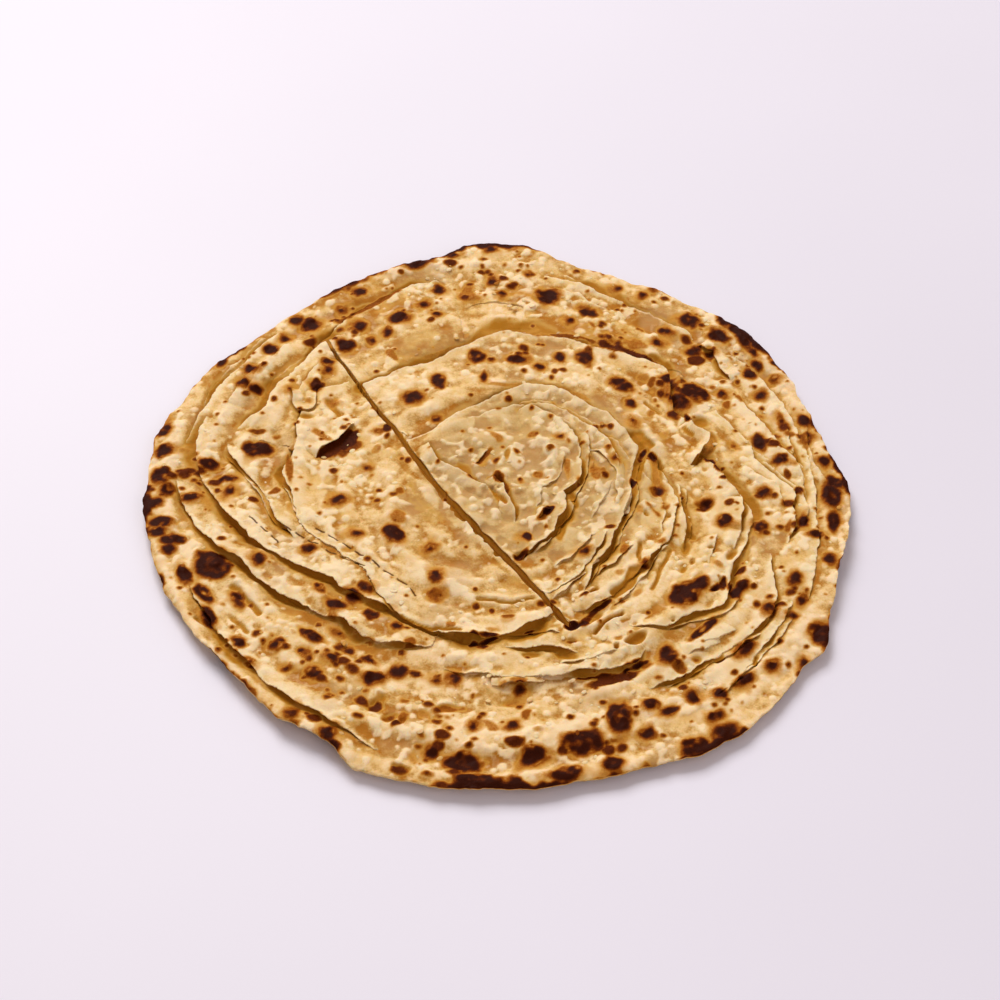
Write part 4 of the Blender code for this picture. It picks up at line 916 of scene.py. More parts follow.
STAINS = ((-50.5, 19.2, 2.8, 0.9, -45, 0.42), (-61.3, 38.3, 2.6, 1.3, 80, 0.32),
    (-55.6, 33.8, 1.1, 0.9, 0, 0.4), (-70, 21.5, 2, 0.7, 0, 0.6), (-63.8, 19.4, 1.1, 0.7, 0, 0.55),
    (-34.7, 14.5, 1.3, 0.7, 50, 0.34), (-35.7, 4.7, 0.8, 0.7, 0, 0.5), (-51.2, 6.8, 0.9, 0.9, 0, 0.32),
    (-33.3, -1.9, 1.3, 1.1, 0, 0.7), (-35.1, -4.4, 0.6, 0.6, 0, 0.55), (-27.7, -1.9, 0.7, 0.8, 0, 0.5),
    (-62.9, -2.1, 1.1, 1, 0, 0.55), (-58.7, -8.6, 1, 1.2, 0, 0.36), (-34.9, 30.8, 1.6, 0.6, -60, 0.8),
    (-32, 22.9, 0.9, 0.8, 0, 0.8), (12.8, -12.4, 2.4, 0.9, 50, 0.55), (14.9, -9.4, 2.2, 1.1, 50, 0.98),
    (8.6, -20, 1.1, 1.1, 0, 0.95), (6.6, -27, 1.8, 0.7, 45, 0.8), (6.6, 2.4, 0.9, 0.9, 0, 0.7),
    (6.6, 9.4, 0.6, 0.6, 0, 0.6), (11.8, 5, 1.2, 1.1, 0, 0.45), (18.9, 19.2, 0.8, 0.7, 0, 0.6),
    (20.9, 16.7, 0.7, 0.7, 0, 0.6), (24.4, 16.4, 0.7, 0.6, 0, 0.6), (20.2, 5.9, 3, 0.7, 95, 0.4),
    (10.4, 20.4, 1, 0.9, 0, 0.42), (15.5, 13.9, 0.5, 0.5, 0, 0.6), (23.4, 1.3, 1.5, 0.8, 90, 0.5),
    (-0.8, 18.8, 2.6, 1.3, -50, 0.4), (-1.8, 23.2, 0.6, 0.6, 0, 0.7), (0.8, 2.8, 2.6, 1.3, 115, 0.62),
    (-3.6, 9.6, 2.4, 1.4, 60, 0.3), (57.8, -8.9, 1.9, 1.2, 35, 0.62), (83.4, 4.8, 1.7, 0.8, 95, 0.62),
    (86.4, -1.9, 1.3, 1.3, 0, 0.75), (85.5, 21.6, 0.9, 0.9, 0, 0.5), (88.5, 20.5, 0.7, 0.8, 0, 0.6),
    (89.9, 16.7, 1.3, 0.8, 60, 0.42), (81.8, -16.1, 2, 0.8, 80, 0.5), (65.4, -8.2, 0.6, 0.6, 0, 0.65),
    (67.5, -11, 0.4, 0.4, 0, 0.55), (48.4, 20.9, 0.9, 0.9, 0, 0.3), (55.1, 13.2, 1.2, 0.8, 80, 0.3),
    (45.3, 29.3, 0.9, 0.8, 0, 0.4), (44.2, -10.1, 2, 0.8, -55, 0.5), (47, -8.7, 0.7, 0.7, 0, 0.5),
    (42.2, 14.2, 2, 0.8, 70, 0.85), (44.5, 12.4, 1.1, 0.7, -50, 0.85), (38.9, 2.4, 1.9, 0.8, 85, 0.85),
    (45.4, -2.9, 1.8, 1.4, 60, 0.55), (40.2, -9.9, 2, 0.8, 95, 0.32), (45.5, 3.6, 6.5, 1.1, 92, 0.36),
    (61.4, 9.6, 1.9, 0.8, -50, 0.8), (63.2, 5, 1.6, 0.4, -60, 0.75), (64.8, 1.6, 1, 0.5, 0, 0.8),
    (67.6, -0.4, 1.2, 0.5, -20, 0.8), (35.4, -25, 2.6, 1, 95, 0.45), (41.4, -30.4, 2.3, 1.5, 70, 0.36),
    (40.6, -29.4, 1.1, 0.6, 60, 0.7), (45.7, -22.6, 1.1, 0.9, 40, 0.45), (24, -41.5, 0.8, 0.4, 30, 0.8),
    (34, -33.5, 0.9, 0.9, 0, 0.34), (34, -43.8, 1.4, 1.1, -20, 0.62), (38.2, -41.2, 2.2, 0.8, 60, 0.34),
    (20.4, -52.8, 2.5, 1.4, 40, 1), (23, -52.2, 1.8, 1.3, 60, 0.82), (27.5, -45.8, 4.6, 0.9, 38, 0.78),
    (24.5, -49.2, 3, 1.2, 55, 0.66), (20, -58.7, 1.9, 0.5, 5, 0.55), (15.4, -61.5, 1.2, 0.8, 0, 0.42),
    (37.6, -65, 2.4, 0.9, 20, 0.86), (34.6, -66.8, 1.4, 0.7, 60, 0.9), (39.4, -65.8, 1.2, 1.2, 0, 0.5),
    (25, -69.4, 4.2, 0.5, 15, 0.8), (60.9, -30.7, 1.9, 0.8, -50, 0.38), (67.2, -32.6, 1.2, 1, 0, 0.72),
    (69.5, -46.1, 0.9, 0.8, 0, 0.6), (64.2, -37.4, 1.6, 0.4, 75, 0.8), (62.2, -37, 1.7, 0.6, 80, 0.8),
    (59.3, -39.8, 1.2, 0.5, 35, 0.85), (42.5, -70.4, 1.5, 0.9, 0, 0.62),
    (53.2, -64.3, 1.6, 1.2, 10, 0.55), (48.8, -67.1, 1.4, 1.7, 20, 0.55),
    (44.3, 65.7, 1.9, 1.1, -55, 0.55), (38, 65.5, 1.1, 0.8, 40, 0.42), (33.5, 64.3, 1.2, 1, 0, 0.28),
    (45.9, 41.5, 1.2, 0.7, 85, 0.55), (43.3, 43.8, 1.6, 1.1, -30, 0.38), (27, 52.7, 3.4, 2, 80, 0.62),
    (29.1, 67.6, 2, 0.9, -50, 0.45), (36, 55, 6.4, 0.9, -18, 0.66), (59.7, 52.7, 2.1, 1.7, 0, 0.7),
    (66.7, 38.7, 1.7, 1, -30, 0.45), (63.9, 41.5, 0.8, 0.8, 0, 0.5), (66.9, 43.6, 1, 0.9, 0, 0.6),
    (62.7, 46.8, 1.3, 1, -40, 0.25), (72, 36.3, 1.2, 0.6, -60, 0.45), (67.8, 34, 0.8, 0.8, 0, 0.5),
    (70.4, 53.1, 2.6, 0.8, -42, 0.42), (52.7, 34.5, 3, 2.6, 0, 0.45), (51.7, 29.3, 2.2, 1.8, 0, 0.78),
    (55.9, 26.5, 1.1, 0.4, -70, 0.85), (65, 55.8, 1.9, 0.7, 75, 0.62), (-6.1, -57.4, 1.6, 1.1, 60, 0.85),
    (-1.9, -56.5, 2.5, 0.5, 0, 0.85), (-3.3, -59.9, 0.9, 0.8, -30, 0.8), (8.9, -54, 1.3, 0.6, 10, 0.85),
    (-0.5, -54.3, 1.5, 0.9, 0, 0.34), (3, -49.4, 1, 0.5, 0, 0.55), (3, -50.8, 1.2, 0.8, 0, 0.26),
    (-22.9, -58.5, 1.3, 0.9, 0, 0.5), (-32.7, -49.1, 2.6, 1.5, 60, 0.7),
    (-34.5, -57.5, 1.6, 0.8, -20, 0.5), (-21.5, -68.5, 1.4, 0.9, -20, 0.78),
    (-6.1, -70.6, 0.8, 0.6, 0, 0.35), (1.4, -72.7, 0.9, 0.6, 0, 0.38), (6.5, -72, 2.1, 0.6, 5, 0.42),
    (-23.6, -78, 0.9, 0.7, -20, 0.5), (-24.3, -82.7, 2, 1.3, 60, 0.48),
    (-25.9, -85.8, 1.3, 0.9, 20, 0.75), (-19.1, -82.5, 1.6, 1.1, -40, 0.36),
    (-13.5, -86.5, 1.3, 0.8, 70, 0.3), (-1.6, -86.5, 1.5, 0.9, -60, 0.42),
    (7.7, -82.3, 1.5, 0.9, 90, 0.5), (12.4, -84.6, 0.7, 0.7, 0, 0.5), (10.5, -88, 0.8, 0.6, 0, 0.3),
    (4.7, -92, 2.4, 1.6, 10, 0.7), (-31.6, -79.2, 2.6, 1.3, 70, 0.66), (-27.4, -83, 2.2, 1.1, 50, 0.6),
    (-12.1, -80, 3.6, 1.2, 0, 0.48), (4.4, -78, 2.8, 1.2, 0, 0.36), (43.5, -63, 1.6, 1.2, 0, 0.3),
    (-53.3, 41.4, 1.6, 1.3, 60, 0.8))
# How far the very rim is charred round the circle: angle, level
RIM_CHAR = ((0, 0.74), (4, 0.78), (7, 0.64), (10, 0.1), (14, 0.45), (18, 0.68), (21, 0.1), (28, 0.5),
    (33, 0.8), (37, 0.98), (42, 1.02), (45, 0.78), (48, 0.4), (53, 0.3), (57, 0.56), (60, 0.66),
    (63, 0.55), (66, 0.1), (75, 0.15), (81, 0.3), (85, 0.7), (90, 0.86), (96, 0.8), (99, 0.66),
    (102, 0.66), (105, 0.77), (108, 0.4), (111, 0.6), (114, 0.45), (119, 0.58), (124, 0.55), (129, 0.3),
    (132, 0.5), (135, 0.1), (138, 0.4), (144, 0.55), (147, 0.5), (152, 0), (160, 0), (164, 0.55),
    (168, 0.62), (172, 0.4), (177, 0.45), (180, 0.5), (183, 0.56), (187, 0.68), (191, 0.62), (195, 0.2),
    (201, 0.55), (205, 0.2), (216, 0.2), (222, 0.1), (229, 0.5), (235, 0.55), (240, 0.55), (243, 0.3),
    (246, 0.55), (252, 0.3), (256, 0.1), (260, 0.44), (264, 0.86), (268, 1.04), (272, 0.98), (276, 0.76),
    (281, 0.52), (285, 0.4), (288, 0.55), (291, 0.3), (294, 0.6), (297, 0.74), (300, 0.98), (304, 0.77),
    (306.5, 0.74), (309, 0.1), (312, 0.5), (315, 0.1), (320, 0.3), (324, 0.5), (327, 0.85), (330, 0.55),
    (334, 0.5), (338, 0.2), (345, 0.3), (349, 0.4), (354, 0.2), (357, 0.5))
print(len(SPOTS), "large spots and", len(BROWN_SPOTS) + len(HOLLOW_STAINS) + len(STAINS), "brown places")

# %% Spots and specks
HALO_LEVEL = 0.42
BORDER_FADE = 1.5
FARTHEST = 20.0
SPOT_REACH = 6.0
SPECKS_WITHIN = 103.0


def spot_distance(spots):
    """How far each place lies outside the nearest spot, negative inside it."""
    gap = np.full(map_x.shape, FARTHEST, np.float32)
    for turn, radius, half_x, half_y in spots:
        a = math.radians(turn)
        x, y = radius * math.cos(a), radius * math.sin(a)
        long_way, short_way = max(half_x, half_y), min(half_x, half_y)
        along = (1.0, 0.0) if half_x >= half_y else (0.0, 1.0)
        tangent = (-math.sin(a), math.cos(a))
        if abs(tangent[0] if half_x >= half_y else tangent[1]) > 0.5:
            along = tangent
        near = int((long_way + SPOT_REACH) / PITCH)
        row, col = int(y / PITCH + 0.5 * CELLS), int(x / PITCH + 0.5 * CELLS)
        view = (slice(max(row - near, 0), row + near), slice(max(col - near, 0), col + near))
        dx, dy = map_x[view] - x, map_y[view] - y
        u = (dx * along[0] + dy * along[1]) / long_way
        v = (dx * along[1] - dy * along[0]) / short_way
        ring = (np.hypot(u, v) - 1.0) * 0.5 * (long_way + short_way)
        gap[view] = np.minimum(gap[view], ring)
    return gap


def scattered_specks(seed, count, small, large, rim_pull):
    """Random small spots that crowd towards the rim."""
    pick = np.random.default_rng(seed)
    spots = []
    for _ in range(count):
        radius = SPECKS_WITHIN * pick.random() ** rim_pull
        size = small + (large - small) * pick.random() ** 3
        spots.append((360.0 * pick.random(), radius, size * (0.8 + 0.5 * pick.random()), size))
    return spots


def crowded_specks(seed, places, small, large):
    """Random small spots round the given places."""
    pick = np.random.default_rng(seed)
    spots = []
    for turn, radius, spread, count in places:
        a = math.radians(turn)
        for dx, dy, size in zip(*(spread * 0.6 * pick.standard_normal((2, count))), pick.random(count)):
            x, y = radius * math.cos(a) + dx, radius * math.sin(a) + dy
            size = small + (large - small) * size ** 2
            spots.append((math.degrees(math.atan2(y, x)), math.hypot(x, y), size * 1.3, size))
    return spots


def halo_and_core(gap, fade, depth, most, uneven=1.0):
    """A halo that fades out over some millimetres, and a core that darkens inwards."""
    return np.clip(HALO_LEVEL - gap * uneven / fade, 0, HALO_LEVEL) + np.clip(-gap / depth, 0, most)


def add_stains(field, stains):
    """Paints browned ellipses with ragged borders into a map."""
    for x, y, long_way, short_way, turn, level in stains:
        view = window_round(((x, y),), long_way + 5.0)
        ring = ellipse_ring(view, x, y, long_way, short_way, turn)
        outside = (ring - 1.0) * math.sqrt(long_way * short_way) + ragged[view]
        field[view] = np.maximum(field[view], level * (1.0 - ease((outside + 0.5) / BORDER_FADE)))


ragged = 0.17 * rough(0.45, 51) + 0.42 * rough(1.2, 52)
print("borders are ragged by", round(float(ragged.std()), 2), "mm")

# %% Burn maps
SPOT_FADE = 4.2
SPOT_DEPTH = 2.5
SPOT_CORE = 0.56
GRAINY = 0.20
WORN = 0.17
SPECKS = 420
RIM_CHAR_WIDTH = 7.0
RIM_CHAR_FADE = 2.2
RIM_CHAR_DEPTH = 2.6
RIM_CHAR_CORE = 0.50
UNDERSIDE_SPOTS = 230
UNDERSIDE_DEPTH = 3.4
UNDERSIDE_CORE = 0.5

spot_gap = spot_distance(SPOTS) + ragged
speck_gap = spot_distance(scattered_specks(53, SPECKS, 0.35, 1.1, 0.42)) + 0.5 * ragged
halo_break = 1.0 + 0.30 * rough(1.6, 59)
brown_gap = spot_distance(BROWN_SPOTS) + 1.6 * ragged
crowd_gap = spot_distance(crowded_specks(57, CROWDED, 0.5, 1.7)) + 0.7 * ragged
burn = halo_and_core(spot_gap, SPOT_FADE, SPOT_DEPTH, SPOT_CORE, halo_break)
# A black core is grainy, and the middle of a large one is worn
burn -= GRAINY * np.clip(rough(0.6, 56), 0, 2) * ease((burn - 0.5) / 0.3)
burn -= WORN * np.clip(rough(0.9, 58) + 0.2, 0, 1.5) * ease((-spot_gap - 1.7) / 1.4)
# Distance map, level at the border, fade in mm, highest level
for gap, level, fade, most in ((speck_gap, 0.40, 1.5, 0.66), (brown_gap, 0.30, 4.0, 0.42),
                               (crowd_gap, 0.34, 2.0, 0.68)):
    burn = np.maximum(burn, np.clip(level - gap / fade, 0, most))
rim_level = around(round_line(RIM_CHAR, 1.2), map_turn) + 0.10 * rough(2.4, 54)
rim_gap = rim_inside - RIM_CHAR_WIDTH * (rim_level - 0.52) + 1.3 * ragged
burn = np.maximum(burn, halo_and_core(rim_gap, RIM_CHAR_FADE, RIM_CHAR_DEPTH, RIM_CHAR_CORE))
add_stains(burn, STAINS)
burn_below = burn.copy()
add_stains(burn_below, HOLLOW_STAINS)
relief += 0.16 * ease((burn - 0.3) / 0.4)
under_gap = spot_distance(scattered_specks(55, UNDERSIDE_SPOTS, 0.7, 5.6, 0.6)) + 1.4 * ragged
under_burn = halo_and_core(under_gap, SPOT_FADE, UNDERSIDE_DEPTH, UNDERSIDE_CORE, halo_break)
under_burn -= 0.24 * np.clip(rough(0.8, 60), 0, 2) * ease((under_burn - 0.45) / 0.3)
print("charred share of the face:", round(float((burn[share < 1] > 0.5).mean()), 3))

# %% [markdown]
# ## From maps to sheets
# A leaf's top is cut out of a grid of triangles: grid points inside the leaf stay, and where a
# triangle crosses the leaf's edge a new point is put exactly on it, so the edge is smooth and not
# a staircase. Then a Geometry Nodes tree gives the sheet its thickness.

# %% Cut a patch out of the grid
SLIVER = 0.04


def cut_patch(inside, x_grid, y_grid):
    """Points and triangles of the part of a grid where inside is positive."""
    rows, cols = inside.shape
    f = inside.ravel().astype(float)
    f = np.where((f > -SLIVER) & (f <= 0), -SLIVER, np.where((f > 0) & (f < SLIVER), SLIVER, f))
    node = np.arange(rows * cols).reshape(rows, cols)
    a, b = node[:-1, :-1].ravel(), node[:-1, 1:].ravel()
    c, d = node[1:, 1:].ravel(), node[1:, :-1].ravel()
    tris = np.concatenate([np.stack([a, b, c], 1), np.stack([a, c, d], 1)])
    hits = (f[tris] > 0).sum(1)
    whole = tris[hits == 3]

    def turned(some, odd):
        """Triangles turned so that the odd corner comes first."""
        return np.stack([some[np.arange(len(some)), (odd + k) % 3] for k in range(3)], 1)

    one = tris[hits == 1]
    one = turned(one, np.argmax(f[one] > 0, 1))
    two = tris[hits == 2]
    two = turned(two, np.argmin(f[two] > 0, 1))
    pairs = np.concatenate([one[:, [0, 1]], one[:, [0, 2]], two[:, [0, 1]], two[:, [0, 2]]])
    pairs.sort(axis=1)
    edges, index = np.unique(pairs, axis=0, return_inverse=True)
    index = index.ravel() + rows * cols
    n1, n2 = len(one), len(two)
    i01, i02 = index[:n1], index[n1:2 * n1]
    j01, j02 = index[2 * n1:2 * n1 + n2], index[2 * n1 + n2:]
    faces = np.concatenate([
        whole, np.stack([one[:, 0], i01, i02], 1),
        np.stack([j01, two[:, 1], two[:, 2]], 1), np.stack([j01, two[:, 2], j02], 1),
    ])
    share_in = f[edges[:, 0]] / (f[edges[:, 0]] - f[edges[:, 1]])
    flat_x, flat_y = x_grid.ravel(), y_grid.ravel()
    x = np.concatenate([flat_x, flat_x[edges[:, 0]] * (1 - share_in) + flat_x[edges[:, 1]] * share_in])
    y = np.concatenate([flat_y, flat_y[edges[:, 0]] * (1 - share_in) + flat_y[edges[:, 1]] * share_in])
    used, faces = np.unique(faces, return_inverse=True)
    return x[used], y[used], faces.reshape(-1, 3)

# %% [markdown]
# The tree below turns an open patch into a closed sheet. It extrudes the patch straight down by a
# thickness that each point carries, turns the result inside out so that its faces point
# outwards, and welds it to the patch itself. The same tree serves each leaf, and only its
# named inputs differ.

# %% Node helpers
def add_node(tree, kind, inputs=(), **settings):
    """A new node. inputs pairs each socket with a plain value or with the output that feeds it."""
    node = tree.nodes.new(kind)
    for key, value in settings.items():
        setattr(node, key, value)
    for socket, value in inputs:
        if isinstance(value, bpy.types.NodeSocket):
            tree.links.new(value, node.inputs[socket])
        else:
            node.inputs[socket].default_value = value
    return node


def maths(tree, operation, *values):
    """A maths node on outputs or plain numbers."""
    return add_node(tree, "ShaderNodeMath", enumerate(values), operation=operation).outputs[0]


# %% Geometry Nodes tree: closed sheet
THICKNESS = "sheet_thickness"
WELD_DISTANCE = 1e-7


def new_tree(name, sockets):
    """An empty Geometry Nodes tree with the given named inputs."""
    tree = bpy.data.node_groups.new(name, "GeometryNodeTree")
    tree.interface.new_socket("Geometry", in_out="OUTPUT", socket_type="NodeSocketGeometry")
    tree.interface.new_socket("Geometry", in_out="INPUT", socket_type="NodeSocketGeometry")
    for label, kind, value in sockets:
        socket = tree.interface.new_socket(label, in_out="INPUT", socket_type=kind)
        if value is not None:
            socket.default_value = value
    return tree, tree.nodes.new("NodeGroupInput").outputs


def number_on_points(tree, name):
    """The number that each point carries under a name."""
    named = add_node(tree, "GeometryNodeInputNamedAttribute", (("Name", name),), data_type="FLOAT")
    return named.outputs["Attribute"]


def finish_tree(tree, start, geometry):
    """Ends a tree with real geometry that has the material."""
    real = add_node(tree, "GeometryNodeRealizeInstances", (("Geometry", geometry),))
    paint = add_node(tree, "GeometryNodeSetMaterial", (
        ("Geometry", real.outputs["Geometry"]), ("Material", start["Material"])))
    add_node(tree, "NodeGroupOutput", (("Geometry", paint.outputs["Geometry"]),))
    return tree


def closed_sheet_tree():
    """The tree that closes an open patch into a sheet."""
    tree, start = new_tree("closed_sheet", (("Thickness scale", "NodeSocketFloat", 1.0),
                                            ("Material", "NodeSocketMaterial", None)))
    deep = maths(tree, "MULTIPLY", number_on_points(tree, THICKNESS), start["Thickness scale"])
    offset = add_node(tree, "ShaderNodeCombineXYZ", (("Z", maths(tree, "MULTIPLY", deep, -1.0)),))
    extrude = add_node(tree, "GeometryNodeExtrudeMesh", (
        ("Individual", False), ("Offset Scale", 1.0), ("Mesh", start["Geometry"]),
        ("Offset", offset.outputs[0])), mode="FACES")
    flip = add_node(tree, "GeometryNodeFlipFaces", (("Mesh", extrude.outputs["Mesh"]),))
    join = add_node(tree, "GeometryNodeJoinGeometry", (
        ("Geometry", start["Geometry"]), ("Geometry", flip.outputs["Mesh"])))
    weld = add_node(tree, "GeometryNodeMergeByDistance", (
        ("Distance", WELD_DISTANCE), ("Geometry", join.outputs["Geometry"])))
    smooth = add_node(tree, "GeometryNodeSetShadeSmooth", (("Geometry", weld.outputs["Geometry"]),))
    return finish_tree(tree, start, smooth.outputs["Geometry"])


def run_tree(source, tree, values):
    """Runs a tree on an object and gives its result as a plain mesh."""
    modifier = source.modifiers.new(tree.name, "NODES")
    modifier.node_group = tree
    keys = {item.name: item.identifier for item in tree.interface.items_tree
            if item.item_type == "SOCKET" and item.in_out == "INPUT"}
    for label, value in values.items():
        modifier[keys[label]] = value
    graph = bpy.context.evaluated_depsgraph_get()
    mesh = bpy.data.meshes.new_from_object(source.evaluated_get(graph))
    source.modifiers.remove(modifier)
    return mesh


sheet_tree = closed_sheet_tree()
print("tree", sheet_tree.name, "has", len(sheet_tree.nodes), "nodes")

# %% [markdown]
# ## The look of the dough
# One material serves all sheets, because it is all one dough. Seven numbers at each point tell it
# what happened there: how far it is charred, how deep it lies in an oily hollow, whose colour is
# also painted shade, how much it is lifted by a blister, with a painted highlight added along each
# lip, its tone, which holds painted shade and painted light too, how grey it is, how far it lies
# from a closed fold, and whether that fold shows there as a dash of painted shade. Inside the
# material, fine noise breaks up their borders, so that a spot has a ragged golden halo, a brown
# ring and a grainy black core.

# %% Material helpers
def new_material(name):
    """A material with its tree, its surface shader and its object coordinates."""
    material = bpy.data.materials.new(name)
    material.use_nodes = True
    tree = material.node_tree
    place = tree.nodes.new("ShaderNodeTexCoord").outputs["Object"]
    return material, tree, tree.nodes["Principled BSDF"].inputs, place


def colour_steps(tree, factor, stops):
    """A colour ramp on a factor. stops are position and linear colour."""
    ramp = add_node(tree, "ShaderNodeValToRGB", (("Fac", factor),))
    while len(ramp.color_ramp.elements) < len(stops):
        ramp.color_ramp.elements.new(0.5)
    for element, (place, colour) in zip(ramp.color_ramp.elements, stops):
        element.position = place
        element.color = (*colour, 1.0)
    return ramp.outputs["Color"]


def value_steps(tree, factor, stops):
    """A ramp on a factor that gives plain numbers. stops are position and number."""
    return colour_steps(tree, factor, [(place, (v, v, v)) for place, v in stops])


def mixed(tree, factor, low, high):
    """Blends two colours by a factor. Each can be an output or a plain value."""
    values = [(*v, 1.0) if isinstance(v, tuple) else v for v in (factor, low, high)]
    return add_node(tree, "ShaderNodeMix", zip((0, 6, 7), values), data_type="RGBA").outputs[2]


def laid_over(tree, colour, mask, first, last, most, layer):
    """Blends a layer over a colour, from none at the first mask value to most at the last."""
    return mixed(tree, value_steps(tree, mask, ((first, 0.0), (last, most))), colour, layer)


def sum_of(tree, first, second, scale=1.0, offset=0.0):
    """first + second * scale + offset, as nodes."""
    total = maths(tree, "MULTIPLY_ADD", second, scale, first)
    return maths(tree, "ADD", total, offset) if offset else total


def broken_up(tree, value, noise, amount):
    """Adds a noise that swings evenly to both sides."""
    return sum_of(tree, value, noise, amount, -0.5 * amount)


def grain(tree, place, scale, detail=2.0):
    """Noise on object coordinates, scale in spots for each metre."""
    return add_node(tree, "ShaderNodeTexNoise", (
        ("Scale", scale), ("Detail", detail), ("Vector", place))).outputs["Fac"]


def attribute(tree, name):
    """One of the numbers that each point carries."""
    return add_node(tree, "ShaderNodeAttribute", attribute_name=name).outputs["Fac"]


# %% Colours of the dough
DOUGH_DEEP = (0.44, 0.170, 0.018)
DOUGH_SHADE = (0.56, 0.310, 0.085)
DOUGH_MIDDLE = (0.79, 0.535, 0.232)
DOUGH_LIGHT = (0.92, 0.702, 0.440)
GOLDEN = (0.74, 0.440, 0.115)
SODDEN = (0.56, 0.350, 0.150)
GREYER = (0.58, 0.415, 0.195)
CREAM = (0.94, 0.745, 0.490)
OIL_AND_SHADE_DEEP = (0.46, 0.190, 0.014)
OIL_AND_SHADE_OPEN = (0.64, 0.385, 0.095)
HALO = (0.60, 0.290, 0.045)
TOASTED = (0.37, 0.110, 0.006)
BROWN = (0.135, 0.023, 0.0012)
BLACKENED = (0.036, 0.0050, 0.0010)
FOLD_SHADE = (0.090, 0.030, 0.008)
# Charring: where each layer starts and is full, how strong it gets, and its colour
CHAR_LAYERS = ((0.05, 0.30, 0.9, HALO), (0.28, 0.46, 1.0, TOASTED), (0.43, 0.66, 1.0, BROWN),
               (0.58, 0.86, 1.0, BLACKENED))
print(len(CHAR_LAYERS), "layers of charring")

# %% Dough material
DOT_SCALE = 330.0
DOT_BEND_SCALE = 420.0
DOT_BEND = 0.0026
GRAIN_HEIGHT = 0.00024
SURFACE = (("Subsurface Weight", 0.25), ("Subsurface Radius", (1.0, 0.45, 0.15)),
           ("Subsurface Scale", 0.0012), ("Specular IOR Level", 0.04))


def cream_dots(tree, place, broad):
    """A mask of small round blisters, crowded where a broad noise is high."""
    bend = add_node(tree, "ShaderNodeTexNoise", (("Scale", DOT_BEND_SCALE), ("Vector", place)))
    bent = add_node(tree, "ShaderNodeVectorMath", (
        (0, bend.outputs["Color"]), (1, (DOT_BEND,) * 3), (2, place)), operation="MULTIPLY_ADD")
    cells = add_node(tree, "ShaderNodeTexVoronoi", (("Scale", DOT_SCALE), ("Vector", bent.outputs[0])))
    split = add_node(tree, "ShaderNodeSeparateColor", (("Color", cells.outputs["Color"]),))
    # Each cell's own radius, none where it comes out negative
    radius = maths(tree, "MULTIPLY_ADD", split.outputs["Red"], 0.60, -0.52)
    radius = sum_of(tree, radius, broad, 0.62)
    inside = sum_of(tree, radius, cells.outputs["Distance"], -1.0)
    return value_steps(tree, inside, ((0.0, 0.0), (0.42, 0.7)))


def dough_material():
    """The material of the whole bread."""
    material, tree, shader, place = new_material("browned_dough")
    fine = grain(tree, place, 1700.0, 3.0)
    small = grain(tree, place, 520.0, 3.0)
    broad = grain(tree, place, 150.0)
    cloud = grain(tree, place, 48.0)
    # Tone: the leaf's own, with blisters lighter and lumps of uneven colour
    tone = sum_of(tree, attribute(tree, "tone"), attribute(tree, "pale"), 0.24)
    for noise, amount in ((small, 0.80), (broad, 0.7), (fine, 0.46)):
        tone = broken_up(tree, tone, noise, amount)
    colour = colour_steps(tree, tone, ((0.06, DOUGH_DEEP), (0.28, DOUGH_SHADE), (0.50, DOUGH_MIDDLE),
                                       (0.88, DOUGH_LIGHT)))
    # Oil makes parts golden, and steam leaves others damp and greyish. The crumpled middle and the trough
    # behind it are greyer still.
    golden = broken_up(tree, broad, cloud, 0.9)
    colour = laid_over(tree, colour, golden, 0.52, 0.80, 0.6, GOLDEN)
    damp = value_steps(tree, broken_up(tree, cloud, broad, 0.4), ((0.30, 0.5), (0.44, 0.0)))
    colour = mixed(tree, damp, colour, SODDEN)
    greyer = broken_up(tree, attribute(tree, "damp"), small, 0.6)
    colour = laid_over(tree, colour, greyer, 0.20, 1.00, 0.62, GREYER)
    dots = cream_dots(tree, place, broad)
    colour = mixed(tree, dots, colour, CREAM)
    raised = broken_up(tree, attribute(tree, "pale"), small, 0.5)
    colour = laid_over(tree, colour, raised, 0.20, 1.00, 0.80, CREAM)
    # Hollows: smooth, oily and golden brown, deepening to painted shade
    hollow = broken_up(tree, attribute(tree, "hollow"), small, 0.5)
    deep = colour_steps(tree, hollow, ((0.35, OIL_AND_SHADE_OPEN), (0.95, OIL_AND_SHADE_DEEP)))
    colour = laid_over(tree, colour, hollow, 0.12, 0.62, 1.0, deep)
    burn = broken_up(tree, attribute(tree, "burn"), small, 0.16)
    burn = broken_up(tree, burn, fine, 0.18)
    for first, last, most, layer in CHAR_LAYERS:
        colour = laid_over(tree, colour, burn, first, last, most, layer)
    # Closed folds show as thin broken lines of painted shade
    gap = maths(tree, "ABSOLUTE", broken_up(tree, attribute(tree, "crease"), fine, 0.24))
    line = value_steps(tree, gap, ((0.15, 0.92), (0.34, 0.0)))
    dashed = mixed(tree, attribute(tree, "dash"), (0.0, 0.0, 0.0), line)
    colour = mixed(tree, dashed, colour, FOLD_SHADE)
    tree.links.new(colour, shader["Base Color"])
    # Black char and oily hollows shine a little more than dry dough
    gloss = value_steps(tree, burn, ((0.30, 0.62), (0.60, 0.66), (0.90, 0.56)))
    gloss = laid_over(tree, gloss, hollow, 0.2, 0.7, 1.0, (0.54, 0.54, 0.54))
    tree.links.new(broken_up(tree, gloss, fine, 0.16), shader["Roughness"])
    height = sum_of(tree, sum_of(tree, small, fine, 0.8), dots, 0.9)
    bump = add_node(tree, "ShaderNodeBump", (
        ("Strength", 0.6), ("Distance", GRAIN_HEIGHT), ("Height", height)))
    tree.links.new(bump.outputs["Normal"], shader["Normal"])
    for socket, value in SURFACE:
        shader[socket].default_value = value
    return material


dough = dough_material()
print("material", dough.name, "has", len(dough.node_tree.nodes), "nodes")
